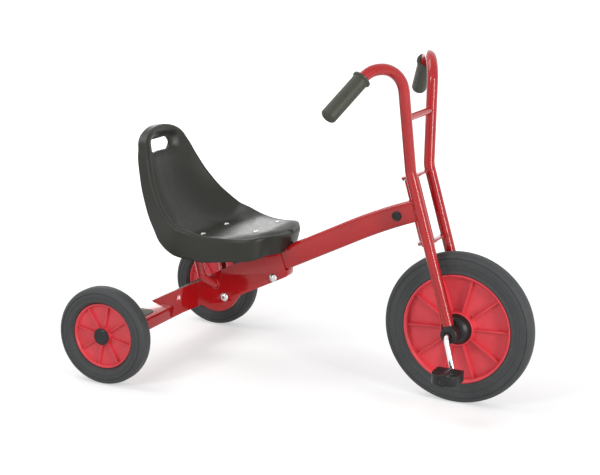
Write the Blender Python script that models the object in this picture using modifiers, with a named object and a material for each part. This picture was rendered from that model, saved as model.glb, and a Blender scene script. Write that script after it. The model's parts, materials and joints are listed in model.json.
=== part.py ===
# Child's tricycle: front-wheel pedal drive, bucket seat, tubular fork and handlebar.
# Metres, +Z up, +X forward, +Y left. The ground is Z = 0 and the origin lies under the
# middle of the bounding box, so the part stands on its three tyres.
import math

import bmesh
import bpy
from mathutils import Matrix, Vector

# Fits and general sizes
GAP = 0.0003
RUN = 0.0004
SHEET = 0.0030
TUBE_WALL = 0.0020
CUT_BEYOND = 0.005
ROUND_STEPS = 16
TUBE_BEVEL = 4

# Wheels and track
WHEELBASE = 0.812
TRACK = 0.577
FRONT_TYRE_RADIUS = 0.185
FRONT_TYRE_WIDTH = 0.046
FRONT_RIM_RADIUS = 0.1337
FRONT_RIM_WIDTH = 0.043
FRONT_RIBS = 10
FRONT_STEPS = 32
REAR_TYRE_RADIUS = 0.122
REAR_TYRE_WIDTH = 0.048
REAR_RIM_RADIUS = 0.0815
REAR_RIM_WIDTH = 0.025
REAR_RIBS = 8
REAR_STEPS = 28
BEAD_DEPTH = 0.0045
LIP_WALL = 0.0040
WEB_THICKNESS = 0.006
RIB_THICKNESS = 0.0045
RIB_DROP = 0.0045
RIB_END = 0.0055
FRONT_RIB_TURN = math.radians(3.0)
REAR_RIB_TURN = math.radians(34.0)

# Front hub, crank and pedals
AXLE_RADIUS = 0.0065
CRANK_LENGTH = 0.083
CRANK_TILT = math.radians(15.0)
CRANK_PLANE = 0.095
CRANK_BEND = 0.012
HUB_COVER_RADIUS = 0.0370
HUB_COVER_FACE = 0.0425
HUB_COVER_WALL = 0.0030
# The cover's dome, from the bore outwards: (share of its radius, drop from its face)
HUB_COVER_DOME = ((0.42, 0.0010), (0.68, 0.0045), (0.87, 0.0110), (0.97, 0.0190), (1.0, 0.0250))
HUB_RING_WALL = 0.0045
HUB_RING_HALF = 0.0200
HUB_FLOOR_HALF = 0.0120
KEY_LENGTH = 0.046
KEY_WIDTH = 0.008
KEY_DEPTH = 0.006
HOUSING_RADIUS = 0.0205
HOUSING_INNER = 0.0435
HOUSING_OUTER = 0.0800
HOUSING_LIP = 0.0040
HOUSING_MOUTH = 0.0125
HOUSING_COLLAR_START = 0.0110
PEDAL_LENGTH = 0.066
PEDAL_WIDTH = 0.064
PEDAL_THICKNESS = 0.025
PEDAL_START = 0.1080
PEDAL_CORNER = 0.024
PEDAL_INNER_CORNER = 0.006
PEDAL_EDGE = 0.0020
PEDAL_BOSS_RADIUS = 0.0150
PEDAL_GROOVES = 3
PEDAL_GROOVE_PITCH = 0.0130
PEDAL_GROOVE_WIDTH = 0.0045
PEDAL_GROOVE_DEPTH = 0.0030
PEDAL_GROOVE_INNER = 0.0110
PEDAL_GROOVE_OUTER = 0.0265
PEDAL_PLUG_RADIUS = 0.0110
PEDAL_PLUG_DEPTH = 0.0030
PEDAL_RETAINER_RADIUS = 0.0100
PEDAL_RETAINER_THICKNESS = 0.0020
PEDAL_POCKET = 0.0090

# Steering
STEER_TILT = math.radians(17.07)
AXIS_BEHIND_BLADES = 0.027
STEER_TUBE_RADIUS = 0.01345
BLADE_HALF_GAP = 0.0612
BLADE_START = 0.0216
LOWER_YOKE_AT = 0.2176
UPPER_YOKE_AT = 0.3787
YOKE_THICKNESS = 0.005
YOKE_NOSE_RADIUS = 0.024
YOKE_NOSE_FLARE = 0.0308
YOKE_ARM_FRONT = 0.003
YOKE_ARM_REAR = -0.017
KINK_AT = 0.3918
KINK_BEND = 0.060
GRIP_DIRECTION = (-0.384, 0.683, -0.670)
# From the kink to the start and top of the bar's bend, and to the grip: (forward, out, up)
BEND_START = (-0.0115, 0.0320, 0.1905)
BEND_TOP = (-0.0445, 0.0975, 0.2475)
GRIP_START = (-0.0700, 0.1410, 0.2300)
BEND_STEPS = 7
GRIP_LENGTH = 0.1280
GRIP_RADIUS = 0.0190
GRIP_FLANGE_RADIUS = 0.0225
GRIP_FLANGE_WIDTH = 0.006
GRIP_END_WALL = 0.010
BRACE_RADIUS = 0.008
BRACE_RISE = 0.1285
HEAD_RADIUS = 0.018
HEAD_WALL = 0.003
BUSH_FLANGE = 0.003
BUSH_LENGTH = 0.022
PIN_RADIUS = 0.0070
PIN_HEAD_RADIUS = 0.0115
PIN_HEAD_HEIGHT = 0.007
WASHER_RADIUS = 0.0235
WASHER_THICKNESS = 0.003
NUT_HEIGHT = 0.008
STEER_NUT_FLATS = 0.020

# Main beam, from the rear axle forwards
BEAM_DEPTH = 0.056
BEAM_HEAD_DEPTH = 0.050
BEAM_WIDTH = 0.034
BEAM_WALL = 0.0025
BEAM_CORNER = 0.009
BEAM_REAR = 0.140
BEAM_REAR_HEIGHT = 0.1905
BEAM_BELOW_HEAD_MIDDLE = 0.0019
BEAM_HEAD_SLOPE = math.radians(19.0)
BEAM_BEND_LENGTH = 0.1687
BEAM_HOLLOW_SHORT = 0.045
BEAM_PLUG_BEHIND_HEAD = 0.0497
BEAM_PLUG_RADIUS = 0.012
BEAM_PLUG_HEIGHT = 0.003
BEAM_PLUG_DISH = 0.001
BEAM_PLUG_SHANK = 0.005
BEAM_PLUG_LENGTH = 0.010

# Rear channel that holds the beam
CHANNEL_WALL = 0.003
CHANNEL_TAIL = -0.028
CHANNEL_FRONT = 0.353
CHANNEL_STEP_X = 0.122
CHANNEL_STEP_RUN = 0.0225
CHANNEL_TAIL_SLOPE = 0.510
CHANNEL_TOP_MARGIN = 0.006
CHANNEL_FRONT_LEAN = 0.0152
CHANNEL_FLOOR_SHORT = 0.012
KEEL_DEPTH = 0.0180
KEEL_REAR_SHORT = 0.012
KEEL_FRONT_OVERHANG = 0.010
KEEL_EDGE = 0.0015
KEEL_FRONT_ROUND = 0.012
# The right wall's round lobe: its clamp bolt, and from there its corner and its two ends
LOBE_AT = 0.1875
LOBE_CORNER = (0.0010, -0.0547)
LOBE_ROUND = 0.0675
LOBE_REAR = 0.0660
LOBE_FRONT = 0.0450
LOBE_FRONT_ROUND = 0.006
FAR_WALL_CLEARANCE = 0.0010
FRONT_BOLT_AT = 0.3250
BOLT_BELOW_BEAM = 0.0062
TAIL_WALL_DEPTH = 0.0660
BOLT_RADIUS = 0.004
BOLT_HEAD_RADIUS = 0.0108
BOLT_HEAD_HEIGHT = 0.0055
BOLT_END = 0.0020
BOLT_CHAMFER = 0.0008
BOLT_NUT_FLATS = 0.0150
BOLT_NUT_HEIGHT = 0.006

# Rear step plate and axle
PLATE_ABOVE_AXLE = 0.015
PLATE_FRONT = 0.048
PLATE_REAR = -0.032
PLATE_FLANGE = 0.030
PLATE_REAR_FLANGE = 0.018
PLATE_FOLD = 0.006
PLATE_TO_WHEEL = 0.0405
PAD_FRONT = 0.029
PAD_REAR = -0.024
PAD_INNER = 0.095
PAD_END_MARGIN = 0.012
PAD_CORNER = 0.018
PAD_THICKNESS = 0.0015
GUSSET_SPREAD = 0.032
GUSSET_REAR = -0.026
GUSSET_FRONT = 0.110
GUSSET_LEAST = 0.0004
GUSSET_SWEEP = 2.2
GUSSET_STEPS = (4, 6)
REAR_AXLE_RADIUS = 0.006
AXLE_TUBE_END_GAP = 0.0005
HUB_INNER_REACH = 0.0240
HUB_FACE = 0.0150
HUB_POCKET_FLOOR = 0.0062
HUB_POCKET_RADIUS = 0.0134
HUB_BOSS_RADIUS = 0.0185
REAR_BUSH_RADIUS = 0.0095
REAR_CAP_RADIUS = 0.0210
REAR_CAP_THICKNESS = 0.0060
REAR_CAP_SPIGOT = 0.0065
REAR_CAP_WALL = 0.0018
REAR_NUT_FLATS = 0.0160
REAR_NUT_HEIGHT = 0.0070
AXLE_BEYOND_NUT = 0.0010

# Seat shell, measured from the rear seat screws
SEAT_BOLT_X = 0.147
SEAT_BOLT_Z = 0.3478
SEAT_BOLT_PITCH = 0.150
SEAT_BOLT_HALF_SPACING = 0.0625
SEAT_PAN_SLOPE = math.radians(8.8)
SEAT_WALL = 0.0040
SEAT_ROLL = 0.0080
SEAT_ROLL_START = math.radians(70.0)
SEAT_ROLL_STEPS = 3
SEAT_SKIRT_STEPS = 2
SEAT_SKIRT_TAPER = 0.12
SEAT_ROWS = 24
SEAT_COLUMNS = 12
SEAT_BACK_FLAT_SHARE = 0.08
SEAT_FLAT_SHARE = 0.55
SEAT_PAN_RANGE = (0.200, 0.330)
SEAT_HOLE_LENGTH = 0.104
SEAT_HOLE_HEIGHT = 0.036
SEAT_HOLE_BELOW_TOP = 0.0400
# The bowl round the hand hole: its depth, how far it reaches past the hole at the sides,
# above and below, and the share of that at which its floor is reached
SEAT_BOWL_DEPTH = 0.011
SEAT_BOWL_BORDER = (0.022, 0.016, 0.007)
SEAT_BOWL_SLOPE = 0.40
SEAT_NOTCH_GAP = 0.003
SEAT_NOTCH_CORNER = 0.006
SEAT_NORMAL_REACH = 0.022
SEAT_TOP_ROUND = (0.036, 2.5)
SEAT_FRONT_ROUND = (0.078, 2.3)
# Middle line of the seat from the top of the back to the front lip: (forward, up)
SEAT_SPINE = (
    (-0.1535, 0.2440),
    (-0.1545, 0.2280),
    (-0.1530, 0.2060),
    (-0.1460, 0.1520),
    (-0.1310, 0.1020),
    (-0.1020, 0.0540),
    (-0.0620, 0.0160),
    (-0.0420, 0.0045),
    (-0.0240, -0.0014),
    (-0.0100, -0.0015),
    (0.0080, 0.0012),
    (0.0300, 0.0046),
    (0.0750, 0.0116),
    (0.1600, 0.0248),
    (0.1850, 0.0275),
    (0.2150, 0.0240),
)
# Along that line: (distance from the top, half width, rim above the middle, skirt depth)
SEAT_FORM = (
    (0.000, 0.0830, 0.0000, 0.018),
    (0.008, 0.0830, 0.0070, 0.020),
    (0.033, 0.0885, 0.0170, 0.023),
    (0.056, 0.0997, 0.0235, 0.026),
    (0.108, 0.1183, 0.0350, 0.029),
    (0.166, 0.1363, 0.0420, 0.034),
    (0.230, 0.1535, 0.0432, 0.045),
    (0.267, 0.1603, 0.0425, 0.058),
    (0.305, 0.1622, 0.0380, 0.067),
    (0.340, 0.1585, 0.0262, 0.066),
    (0.363, 0.1535, 0.0155, 0.062),
    (0.385, 0.1463, 0.0072, 0.056),
    (0.429, 0.1276, -0.0026, 0.050),
    (0.475, 0.1180, -0.0078, 0.047),
    (0.540, 0.1150, -0.0040, 0.040),
)

# Seat supports
SUPPORT_RADIUS = 0.011
SUPPORT_BEND = 0.018
SUPPORT_LOW_BEND = 0.025
SUPPORT_FOOT = (0.164, 0.0093, 0.2013)
SUPPORT_ELBOW = (0.1425, 0.0570, 0.2360)
SUPPORT_CORNER_X = 0.122
SUPPORT_FRONT = 0.168
SUPPORT_GAP = 0.0005
CROSSBAR_WIDTH = 0.034
CROSSBAR_THICKNESS = 0.005
CROSSBAR_OVERHANG = 0.012
POST_LENGTH = 0.030
POST_TRIM = 0.030
SEAT_SCREW_RADIUS = 0.003
SEAT_SCREW_HEAD_RADIUS = 0.0085
SEAT_SCREW_HEAD_HEIGHT = 0.0035
SEAT_SCREW_LENGTH = 0.034
SEAT_SCREW_SINK = 0.0008
SEAT_SCREW_RECESS = 0.0012

# Places that follow from the sizes above
REAR_X = -(WHEELBASE + FRONT_TYRE_RADIUS - REAR_TYRE_RADIUS) / 2
FRONT_X = REAR_X + WHEELBASE
REAR_AXLE = Vector((REAR_X, 0.0, REAR_TYRE_RADIUS))
FRONT_AXLE = Vector((FRONT_X, 0.0, FRONT_TYRE_RADIUS))
STEER_UP = Vector((-math.sin(STEER_TILT), 0.0, math.cos(STEER_TILT)))
STEER_BACK = Vector((-math.cos(STEER_TILT), 0.0, -math.sin(STEER_TILT)))
CHANNEL_INNER = BEAM_WIDTH / 2 + GAP
CHANNEL_OUTER = CHANNEL_INNER + CHANNEL_WALL
PLATE_TOP = REAR_TYRE_RADIUS + PLATE_ABOVE_AXLE
PLATE_HALF_SPAN = TRACK / 2 - PLATE_TO_WHEEL
PAD_OUTER = PLATE_HALF_SPAN - PAD_END_MARGIN
PAN_RISE = math.tan(SEAT_PAN_SLOPE)
Y_AXIS = Vector((0.0, 1.0, 0.0))


def blade_point(along, side=0.0):
    """A point on the line of the fork blades, measured up from the front axle."""
    return FRONT_AXLE + STEER_UP * along + Y_AXIS * side


def steer_point(along):
    """A point on the steering axis, level with the same place on the blades."""
    return blade_point(along) + STEER_BACK * AXIS_BEHIND_BLADES


# The beam runs from its rear end to the middle of the head tube
HEAD_MIDDLE = steer_point((LOWER_YOKE_AT + UPPER_YOKE_AT) / 2)
HEAD_X = HEAD_MIDDLE.x - REAR_X
BEAM_BEND_START = HEAD_X - BEAM_BEND_LENGTH
BEAM_PLUG_X = HEAD_X - BEAM_PLUG_BEHIND_HEAD
BEAM_RISE = HEAD_MIDDLE.z - BEAM_BELOW_HEAD_MIDDLE - BEAM_REAR_HEIGHT
BEAM_SLOPE = math.atan((BEAM_RISE - math.tan(BEAM_HEAD_SLOPE) * BEAM_BEND_LENGTH / 2)
                       / (BEAM_BEND_START - BEAM_REAR + BEAM_BEND_LENGTH / 2))


def crank_end(side):
    """The pedal axis where it leaves the crank; side is -1 on the right and 1 on the left."""
    drop = Vector((math.sin(CRANK_TILT), 0.0, -math.cos(CRANK_TILT))) * CRANK_LENGTH
    return FRONT_AXLE + drop * -side


def beam_height(x):
    """Height of the beam's middle line at a distance in front of the rear axle."""
    straight = BEAM_REAR_HEIGHT + math.tan(BEAM_SLOPE) * (x - BEAM_REAR)
    share = max(0.0, (x - BEAM_BEND_START) / BEAM_BEND_LENGTH)
    slope_change = math.tan(BEAM_HEAD_SLOPE) - math.tan(BEAM_SLOPE)
    return straight + BEAM_BEND_LENGTH * slope_change * share * share / 2


def beam_half_depth(x):
    """Half the beam's upright depth, which tapers from the bend to the head."""
    share = max(0.0, (x - BEAM_BEND_START) / BEAM_BEND_LENGTH)
    depth = BEAM_DEPTH + (BEAM_HEAD_DEPTH - BEAM_DEPTH) * share
    return depth / 2 / math.cos(BEAM_SLOPE)


def channel_top(x):
    """Upper edge of the channel behind its step."""
    return PLATE_TOP + CHANNEL_TAIL_SLOPE * (x - CHANNEL_TAIL)


def channel_foot(x):
    """Lower edge of the channel behind its round lobe."""
    return channel_top(x) - TAIL_WALL_DEPTH


def bolt_height(x):
    """Height of the clamp bolts, which pass just below the beam."""
    return beam_height(x) - beam_half_depth(x) - BOLT_BELOW_BEAM


def pan_height(x):
    """Upper face of the seat pan at a distance in front of the rear axle."""
    return SEAT_BOLT_Z + PAN_RISE * (x - SEAT_BOLT_X)


def clear_scene():
    for old in list(bpy.data.objects):
        bpy.data.objects.remove(old, do_unlink=True)


def new_collection(name):
    found = bpy.data.collections.new(name)
    bpy.context.scene.collection.children.link(found)
    return found


clear_scene()
PARTS = new_collection("tricycle")
CUTTERS = new_collection("cutters")


def finish(name, colour, roughness, metallic=0.0):
    """A plain surface with one colour, roughness and metallic value."""
    made = bpy.data.materials.new(name)
    made.use_nodes = True
    shader = made.node_tree.nodes["Principled BSDF"]
    shader.inputs["Base Color"].default_value = (*colour, 1.0)
    shader.inputs["Roughness"].default_value = roughness
    shader.inputs["Metallic"].default_value = metallic
    return made


RED_PAINT = finish("red_paint", (0.52, 0.022, 0.018), 0.28)
RED_PLASTIC = finish("red_plastic", (0.60, 0.035, 0.045), 0.42)
TYRE_RUBBER = finish("tyre_rubber", (0.035, 0.036, 0.035), 0.70)
SEAT_PLASTIC = finish("seat_plastic", (0.040, 0.041, 0.038), 0.45)
GRIP_RUBBER = finish("grip_rubber", (0.050, 0.052, 0.046), 0.60)
BLACK_PLASTIC = finish("black_plastic", (0.020, 0.021, 0.021), 0.40)
CHROME = finish("chrome", (0.80, 0.80, 0.80), 0.12, 1.0)
ZINC_STEEL = finish("zinc_steel", (0.55, 0.56, 0.56), 0.35, 1.0)


def link(made, material=None, owner=None, group=None):
    """Put an object in its collection, give it its material and hang it on its pivot."""
    (group or PARTS).objects.link(made)
    if material is not None:
        made.data.materials.clear()
        made.data.materials.append(material)
    if owner is not None:
        made.parent = owner
        made.matrix_parent_inverse = pivot_matrix(owner).inverted()
    if group is CUTTERS:
        made.hide_render = True
        made.display_type = "WIRE"
    return made


def pivot_matrix(pivot):
    """World place of a pivot, worked out from its own place and its parents'."""
    own = Matrix.Translation(pivot.location)
    if pivot.parent is None:
        return own
    return pivot_matrix(pivot.parent) @ own


def pivot_empty(name, place, owner=None):
    """An empty that marks a joint; the pieces that turn about it are its children."""
    made = bpy.data.objects.new(name, None)
    made.empty_display_size = 0.05
    made.location = Vector(place)
    PARTS.objects.link(made)
    if owner is not None:
        made.location = Vector(place) - pivot_matrix(owner).translation
        made.parent = owner
    return made


def facing(axis, place, turn=0.0):
    """A matrix whose Z runs along axis, turned about it, at a place."""
    rotation = Vector(axis).normalized().to_track_quat("Z", "Y").to_matrix().to_4x4()
    return Matrix.Translation(Vector(place)) @ rotation @ Matrix.Rotation(turn, 4, "Z")


def smooth(mesh, angle=35.0):
    mesh.shade_smooth()
    mesh.set_sharp_from_angle(angle=math.radians(angle))


def turned(name, profile, material, axis, place, owner=None, steps=ROUND_STEPS,
           ring=True, turn=0.0, group=None):
    """A turned piece: (radius, height) points down the outer side, spun about an axis."""
    mesh = bpy.data.meshes.new(name)
    points = [(radius, 0.0, height) for radius, height in profile]
    count = len(points)
    edges = [(index, index + 1) for index in range(count - 1)]
    if ring:
        edges.append((count - 1, 0))
    mesh.from_pydata(points, edges, [])
    made = bpy.data.objects.new(name, mesh)
    made.matrix_world = facing(axis, place, turn)
    screw = made.modifiers.new("spin", "SCREW")
    screw.steps = steps
    screw.render_steps = steps
    screw.use_merge_vertices = True
    screw.merge_threshold = 0.00001
    screw.use_smooth_shade = False
    return link(made, material, owner, group)


def rounded_path(points, radii, step=math.radians(11.0)):
    """A polyline whose inner corners are arcs of the given radii."""
    corners = [Vector(point) for point in points]
    path = [corners[0]]
    for before, here, after, radius in zip(corners, corners[1:], corners[2:], radii):
        into = (here - before).normalized()
        out = (after - here).normalized()
        turn = into.angle(out)
        if turn < 1e-4 or radius <= 0:
            path.append(here)
            continue
        reach = radius * math.tan(turn / 2)
        centre = here + (out - into).normalized() * (radius / math.cos(turn / 2))
        start = here - into * reach - centre
        normal = into.cross(out).normalized()
        count = max(2, round(turn / step))
        for index in range(count + 1):
            spin = Matrix.Rotation(turn * index / count, 3, normal)
            path.append(centre + spin @ start)
    path.append(corners[-1])
    return path


def tube_curve(name, path, radius):
    """A round tube along a path, as a curve with filled ends."""
    curve = bpy.data.curves.new(name, "CURVE")
    curve.dimensions = "3D"
    curve.bevel_depth = radius
    curve.bevel_resolution = TUBE_BEVEL
    curve.use_fill_caps = True
    spline = curve.splines.new("POLY")
    spline.points.add(len(path) - 1)
    for point, place in zip(spline.points, path):
        point.co = (*place, 1.0)
    return bpy.data.objects.new(name, curve)


def as_mesh(curve_object, name, angle=35.0):
    """The mesh of a curve object, with its loose caps welded on."""
    holder = bpy.context.scene.collection
    holder.objects.link(curve_object)
    bpy.context.view_layer.update()
    graph = bpy.context.evaluated_depsgraph_get()
    mesh = bpy.data.meshes.new_from_object(curve_object.evaluated_get(graph))
    welded = bmesh.new()
    welded.from_mesh(mesh)
    bmesh.ops.remove_doubles(welded, verts=welded.verts, dist=0.00001)
    welded.to_mesh(mesh)
    welded.free()
    place = curve_object.matrix_world.copy()
    bpy.data.objects.remove(curve_object, do_unlink=True)
    mesh.name = name
    made = bpy.data.objects.new(name, mesh)
    made.matrix_world = place
    smooth(mesh, angle)
    return made


def tube_mesh(name, path, radius, material=None, owner=None, group=None):
    return link(as_mesh(tube_curve(name, path, radius), name), material, owner, group)


def hollow_tube(name, path, radius, material, owner=None):
    """A round tube along a path, bored through from end to end."""
    tube = tube_mesh(name, path, radius, material, owner)
    first, last = (path[0] - path[1]).normalized(), (path[-1] - path[-2]).normalized()
    longer = [path[0] + first * CUT_BEYOND, *path[1:-1], path[-1] + last * CUT_BEYOND]
    bore = tube_mesh(name + "_bore", longer, radius - TUBE_WALL, group=CUTTERS)
    boolean(tube, bore)
    return tube


def plate(name, outline, half, material=None, matrix=None, owner=None, group=None):
    """A flat outline given a thickness of twice half, square to its own plane."""
    curve = bpy.data.curves.new(name, "CURVE")
    curve.dimensions = "2D"
    curve.fill_mode = "BOTH"
    curve.extrude = half
    spline = curve.splines.new("POLY")
    spline.points.add(len(outline) - 1)
    for point, place in zip(spline.points, outline):
        point.co = (place[0], place[1], 0.0, 1.0)
    spline.use_cyclic_u = True
    flat = bpy.data.objects.new(name, curve)
    if matrix is not None:
        flat.matrix_world = matrix
    return link(as_mesh(flat, name), material, owner, group)


def upright(x=0.0, y=0.0, z=0.0):
    """Stands a flat outline up, so that its own X, Y are the part's X, Z."""
    return Matrix.Translation((x, y, z)) @ Matrix.Rotation(math.radians(90.0), 4, "X")


def box(name, size, matrix, material=None, owner=None, group=None):
    made_mesh = bmesh.new()
    bmesh.ops.create_cube(made_mesh, size=1.0)
    bmesh.ops.scale(made_mesh, vec=Vector(size), verts=made_mesh.verts)
    mesh = bpy.data.meshes.new(name)
    made_mesh.to_mesh(mesh)
    made_mesh.free()
    made = bpy.data.objects.new(name, mesh)
    made.matrix_world = matrix
    return link(made, material, owner, group)


def rod(name, radius, start, end, material=None, owner=None, group=None, sides=ROUND_STEPS):
    """A plain cylinder between two points."""
    start, end = Vector(start), Vector(end)
    made_mesh = bmesh.new()
    bmesh.ops.create_cone(made_mesh, cap_ends=True, segments=sides, radius1=radius,
                          radius2=radius, depth=(end - start).length)
    mesh = bpy.data.meshes.new(name)
    made_mesh.to_mesh(mesh)
    made_mesh.free()
    smooth(mesh)
    made = bpy.data.objects.new(name, mesh)
    made.matrix_world = facing(end - start, (start + end) / 2)
    return link(made, material, owner, group)


def boolean(target, other, operation="DIFFERENCE"):
    change = target.modifiers.new(other.name, "BOOLEAN")
    change.operation = operation
    change.solver = "EXACT"
    change.object = other
    return change


def soften(made, width, segments=2, angle=50.0):
    edge = made.modifiers.new("edges", "BEVEL")
    edge.width = width
    edge.segments = segments
    edge.limit_method = "ANGLE"
    edge.angle_limit = math.radians(angle)
    edge.harden_normals = False
    return made


def hexagon(name, flats, height, bore, material, axis, place, owner=None):
    """A hexagon nut with its bore along an axis; place is the middle of its thickness."""
    made = rod(name, flats / math.sqrt(3.0), Vector(place) - Vector(axis) * height / 2,
               Vector(place) + Vector(axis) * height / 2, material, owner, sides=6)
    hole = rod(name + "_bore", bore, Vector(place) - Vector(axis) * height,
               Vector(place) + Vector(axis) * height, group=CUTTERS)
    boolean(made, hole)
    return made


# Joints
STEERING = pivot_empty("steering_axis", steer_point(LOWER_YOKE_AT))
FRONT_SPIN = pivot_empty("front_wheel_axis", FRONT_AXLE, STEERING)
PEDAL_SPIN = {side: pivot_empty(f"pedal_axis_{name}",
                                crank_end(side) + Y_AXIS * side * CRANK_PLANE, FRONT_SPIN)
              for side, name in ((-1, "right"), (1, "left"))}
REAR_SPIN = {side: pivot_empty(f"rear_wheel_axis_{name}",
                               REAR_AXLE + Y_AXIS * side * TRACK / 2)
             for side, name in ((-1, "right"), (1, "left"))}
SIDES = ((-1, "right"), (1, "left"))


def mirrored(half):
    """Both sides of a profile given for its upper half, down from the widest height."""
    return list(half) + [(radius, -height) for radius, height in reversed(half)]


def tyre(name, radius, width, rim_radius, rim_width, steps, centre, owner):
    """A solid tyre with a square shoulder, whose inner bead sits in the rim's groove."""
    half = width / 2
    seat = rim_width / 2
    tread = radius / math.cos(math.pi / steps)
    inner = rim_radius + GAP
    face = (radius - inner)
    outside = [
        (inner, seat + GAP),
        (inner + face * 0.34, half),
        (radius - 0.0120, half),
        (radius - 0.0035, half - 0.0050),
        (tread, half - 0.0135),
    ]
    bead = [(inner - BEAD_DEPTH, -(seat - 0.0085)), (inner - BEAD_DEPTH, seat - 0.0085)]
    shoulder = [(inner, -(seat - 0.0050)), *bead, (inner, seat - 0.0050)]
    profile = mirrored(outside) + shoulder
    return turned(name, profile, TYRE_RUBBER, Y_AXIS, centre, owner, steps,
                  turn=math.pi / steps)


def rim_ribs(name, count, inner, outer, half, centre, phase):
    """Straight ribs between the hub ring and the outer lip, as one set."""
    ribs = bmesh.new()
    for index in range(count):
        angle = phase + 2 * math.pi * index / count
        cube = bmesh.ops.create_cube(ribs, size=1.0)["verts"]
        bmesh.ops.scale(ribs, vec=(outer - inner, 2 * half, RIB_THICKNESS), verts=cube)
        bmesh.ops.translate(ribs, vec=((outer + inner) / 2, 0.0, 0.0), verts=cube)
        bmesh.ops.rotate(ribs, matrix=Matrix.Rotation(-angle, 3, "Y"), verts=cube)
    mesh = bpy.data.meshes.new(name)
    ribs.to_mesh(mesh)
    ribs.free()
    made = bpy.data.objects.new(name, mesh)
    made.matrix_world = Matrix.Translation(centre)
    return link(made, group=CUTTERS)


def groove(radius, half):
    """The rim's tyre seat: a shallow groove that holds the tyre's bead."""
    return [
        (radius, half - 0.0050 + GAP),
        (radius - BEAD_DEPTH, half - 0.0085 + GAP),
        (radius - BEAD_DEPTH, -(half - 0.0085 + GAP)),
        (radius, -(half - 0.0050 + GAP)),
    ]


def front_wheel():
    """Tyre, ribbed disc, hub covers and the keyed crank axle."""
    tyre("front_tyre", FRONT_TYRE_RADIUS, FRONT_TYRE_WIDTH, FRONT_RIM_RADIUS,
         FRONT_RIM_WIDTH, FRONT_STEPS, FRONT_AXLE, FRONT_SPIN)
    half = FRONT_RIM_WIDTH / 2
    web = WEB_THICKNESS / 2
    lip = FRONT_RIM_RADIUS - LIP_WALL
    recess = HUB_COVER_RADIUS + GAP
    ring = recess + HUB_RING_WALL
    lower = [
        (FRONT_RIM_RADIUS, -half),
        (lip, -half),
        (lip - 0.0030, -half + 0.0030),
        (lip - 0.0055, -web),
        (ring + 0.0015, -web),
        (ring, -HUB_RING_HALF),
        (recess, -HUB_RING_HALF),
        (recess, -HUB_FLOOR_HALF),
        (AXLE_RADIUS + GAP, -HUB_FLOOR_HALF),
    ]
    upper = [(radius, -height) for radius, height in reversed(lower)]
    profile = groove(FRONT_RIM_RADIUS, half) + lower + upper
    rim = turned("front_rim", profile, RED_PLASTIC, Y_AXIS, FRONT_AXLE, FRONT_SPIN,
                 FRONT_STEPS, turn=math.pi / FRONT_STEPS)
    ribs = rim_ribs("front_ribs", FRONT_RIBS, ring - HUB_RING_WALL / 2,
                    FRONT_RIM_RADIUS - RIB_END, HUB_RING_HALF - RIB_DROP, FRONT_AXLE,
                    FRONT_RIB_TURN)
    boolean(rim, ribs, "UNION")
    slot_matrix = (Matrix.Translation(FRONT_AXLE) @ Matrix.Rotation(-CRANK_TILT, 4, "Y")
                   @ Matrix.Translation((0.0, -HUB_FLOOR_HALF, 0.0)))
    slot = box("key_slot", (KEY_WIDTH + 2 * GAP, 2 * (KEY_DEPTH + GAP), KEY_LENGTH + 2 * GAP),
               slot_matrix, group=CUTTERS)
    boolean(rim, slot)
    for side, name in SIDES:
        hub_cover(f"hub_cover_{name}", side)
    crank_axle()


def hub_cover(name, side):
    """A black domed cover that sits in the hub ring and hides the key."""
    outer = HUB_COVER_RADIUS
    foot = HUB_FLOOR_HALF + GAP
    face = HUB_COVER_FACE
    bore = AXLE_RADIUS + RUN
    wall = HUB_COVER_WALL
    dome = [(outer * share, face - drop) for share, drop in HUB_COVER_DOME]
    inside = [((outer - wall) * share, face - wall - drop) for share, drop in HUB_COVER_DOME]
    profile = [(bore, face), *dome, (outer, foot), (outer - wall, foot), *reversed(inside),
               (bore, face - wall)]
    turned(name, profile, BLACK_PLASTIC, Y_AXIS * side, FRONT_AXLE, FRONT_SPIN)


def crank_axle():
    """One bent rod: pedal pin, crank, axle, crank, pedal pin, with a drive key welded on."""
    pin_end = PEDAL_START + PEDAL_WIDTH - PEDAL_PLUG_DEPTH - 2 * GAP
    right, left = crank_end(-1), crank_end(1)
    corners = [
        right - Y_AXIS * pin_end,
        right - Y_AXIS * CRANK_PLANE,
        FRONT_AXLE - Y_AXIS * CRANK_PLANE,
        FRONT_AXLE + Y_AXIS * CRANK_PLANE,
        left + Y_AXIS * CRANK_PLANE,
        left + Y_AXIS * pin_end,
    ]
    path = rounded_path(corners, [CRANK_BEND] * 4, math.radians(18.0))
    axle = tube_mesh("crank_axle", path, AXLE_RADIUS, CHROME, FRONT_SPIN)
    key_matrix = (Matrix.Translation(FRONT_AXLE) @ Matrix.Rotation(-CRANK_TILT, 4, "Y")
                  @ Matrix.Translation((0.0, -(HUB_FLOOR_HALF - KEY_DEPTH / 2), 0.0)))
    key = box("drive_key", (KEY_WIDTH, KEY_DEPTH, KEY_LENGTH), key_matrix, group=CUTTERS)
    boolean(axle, key, "UNION")
    return axle


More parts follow.
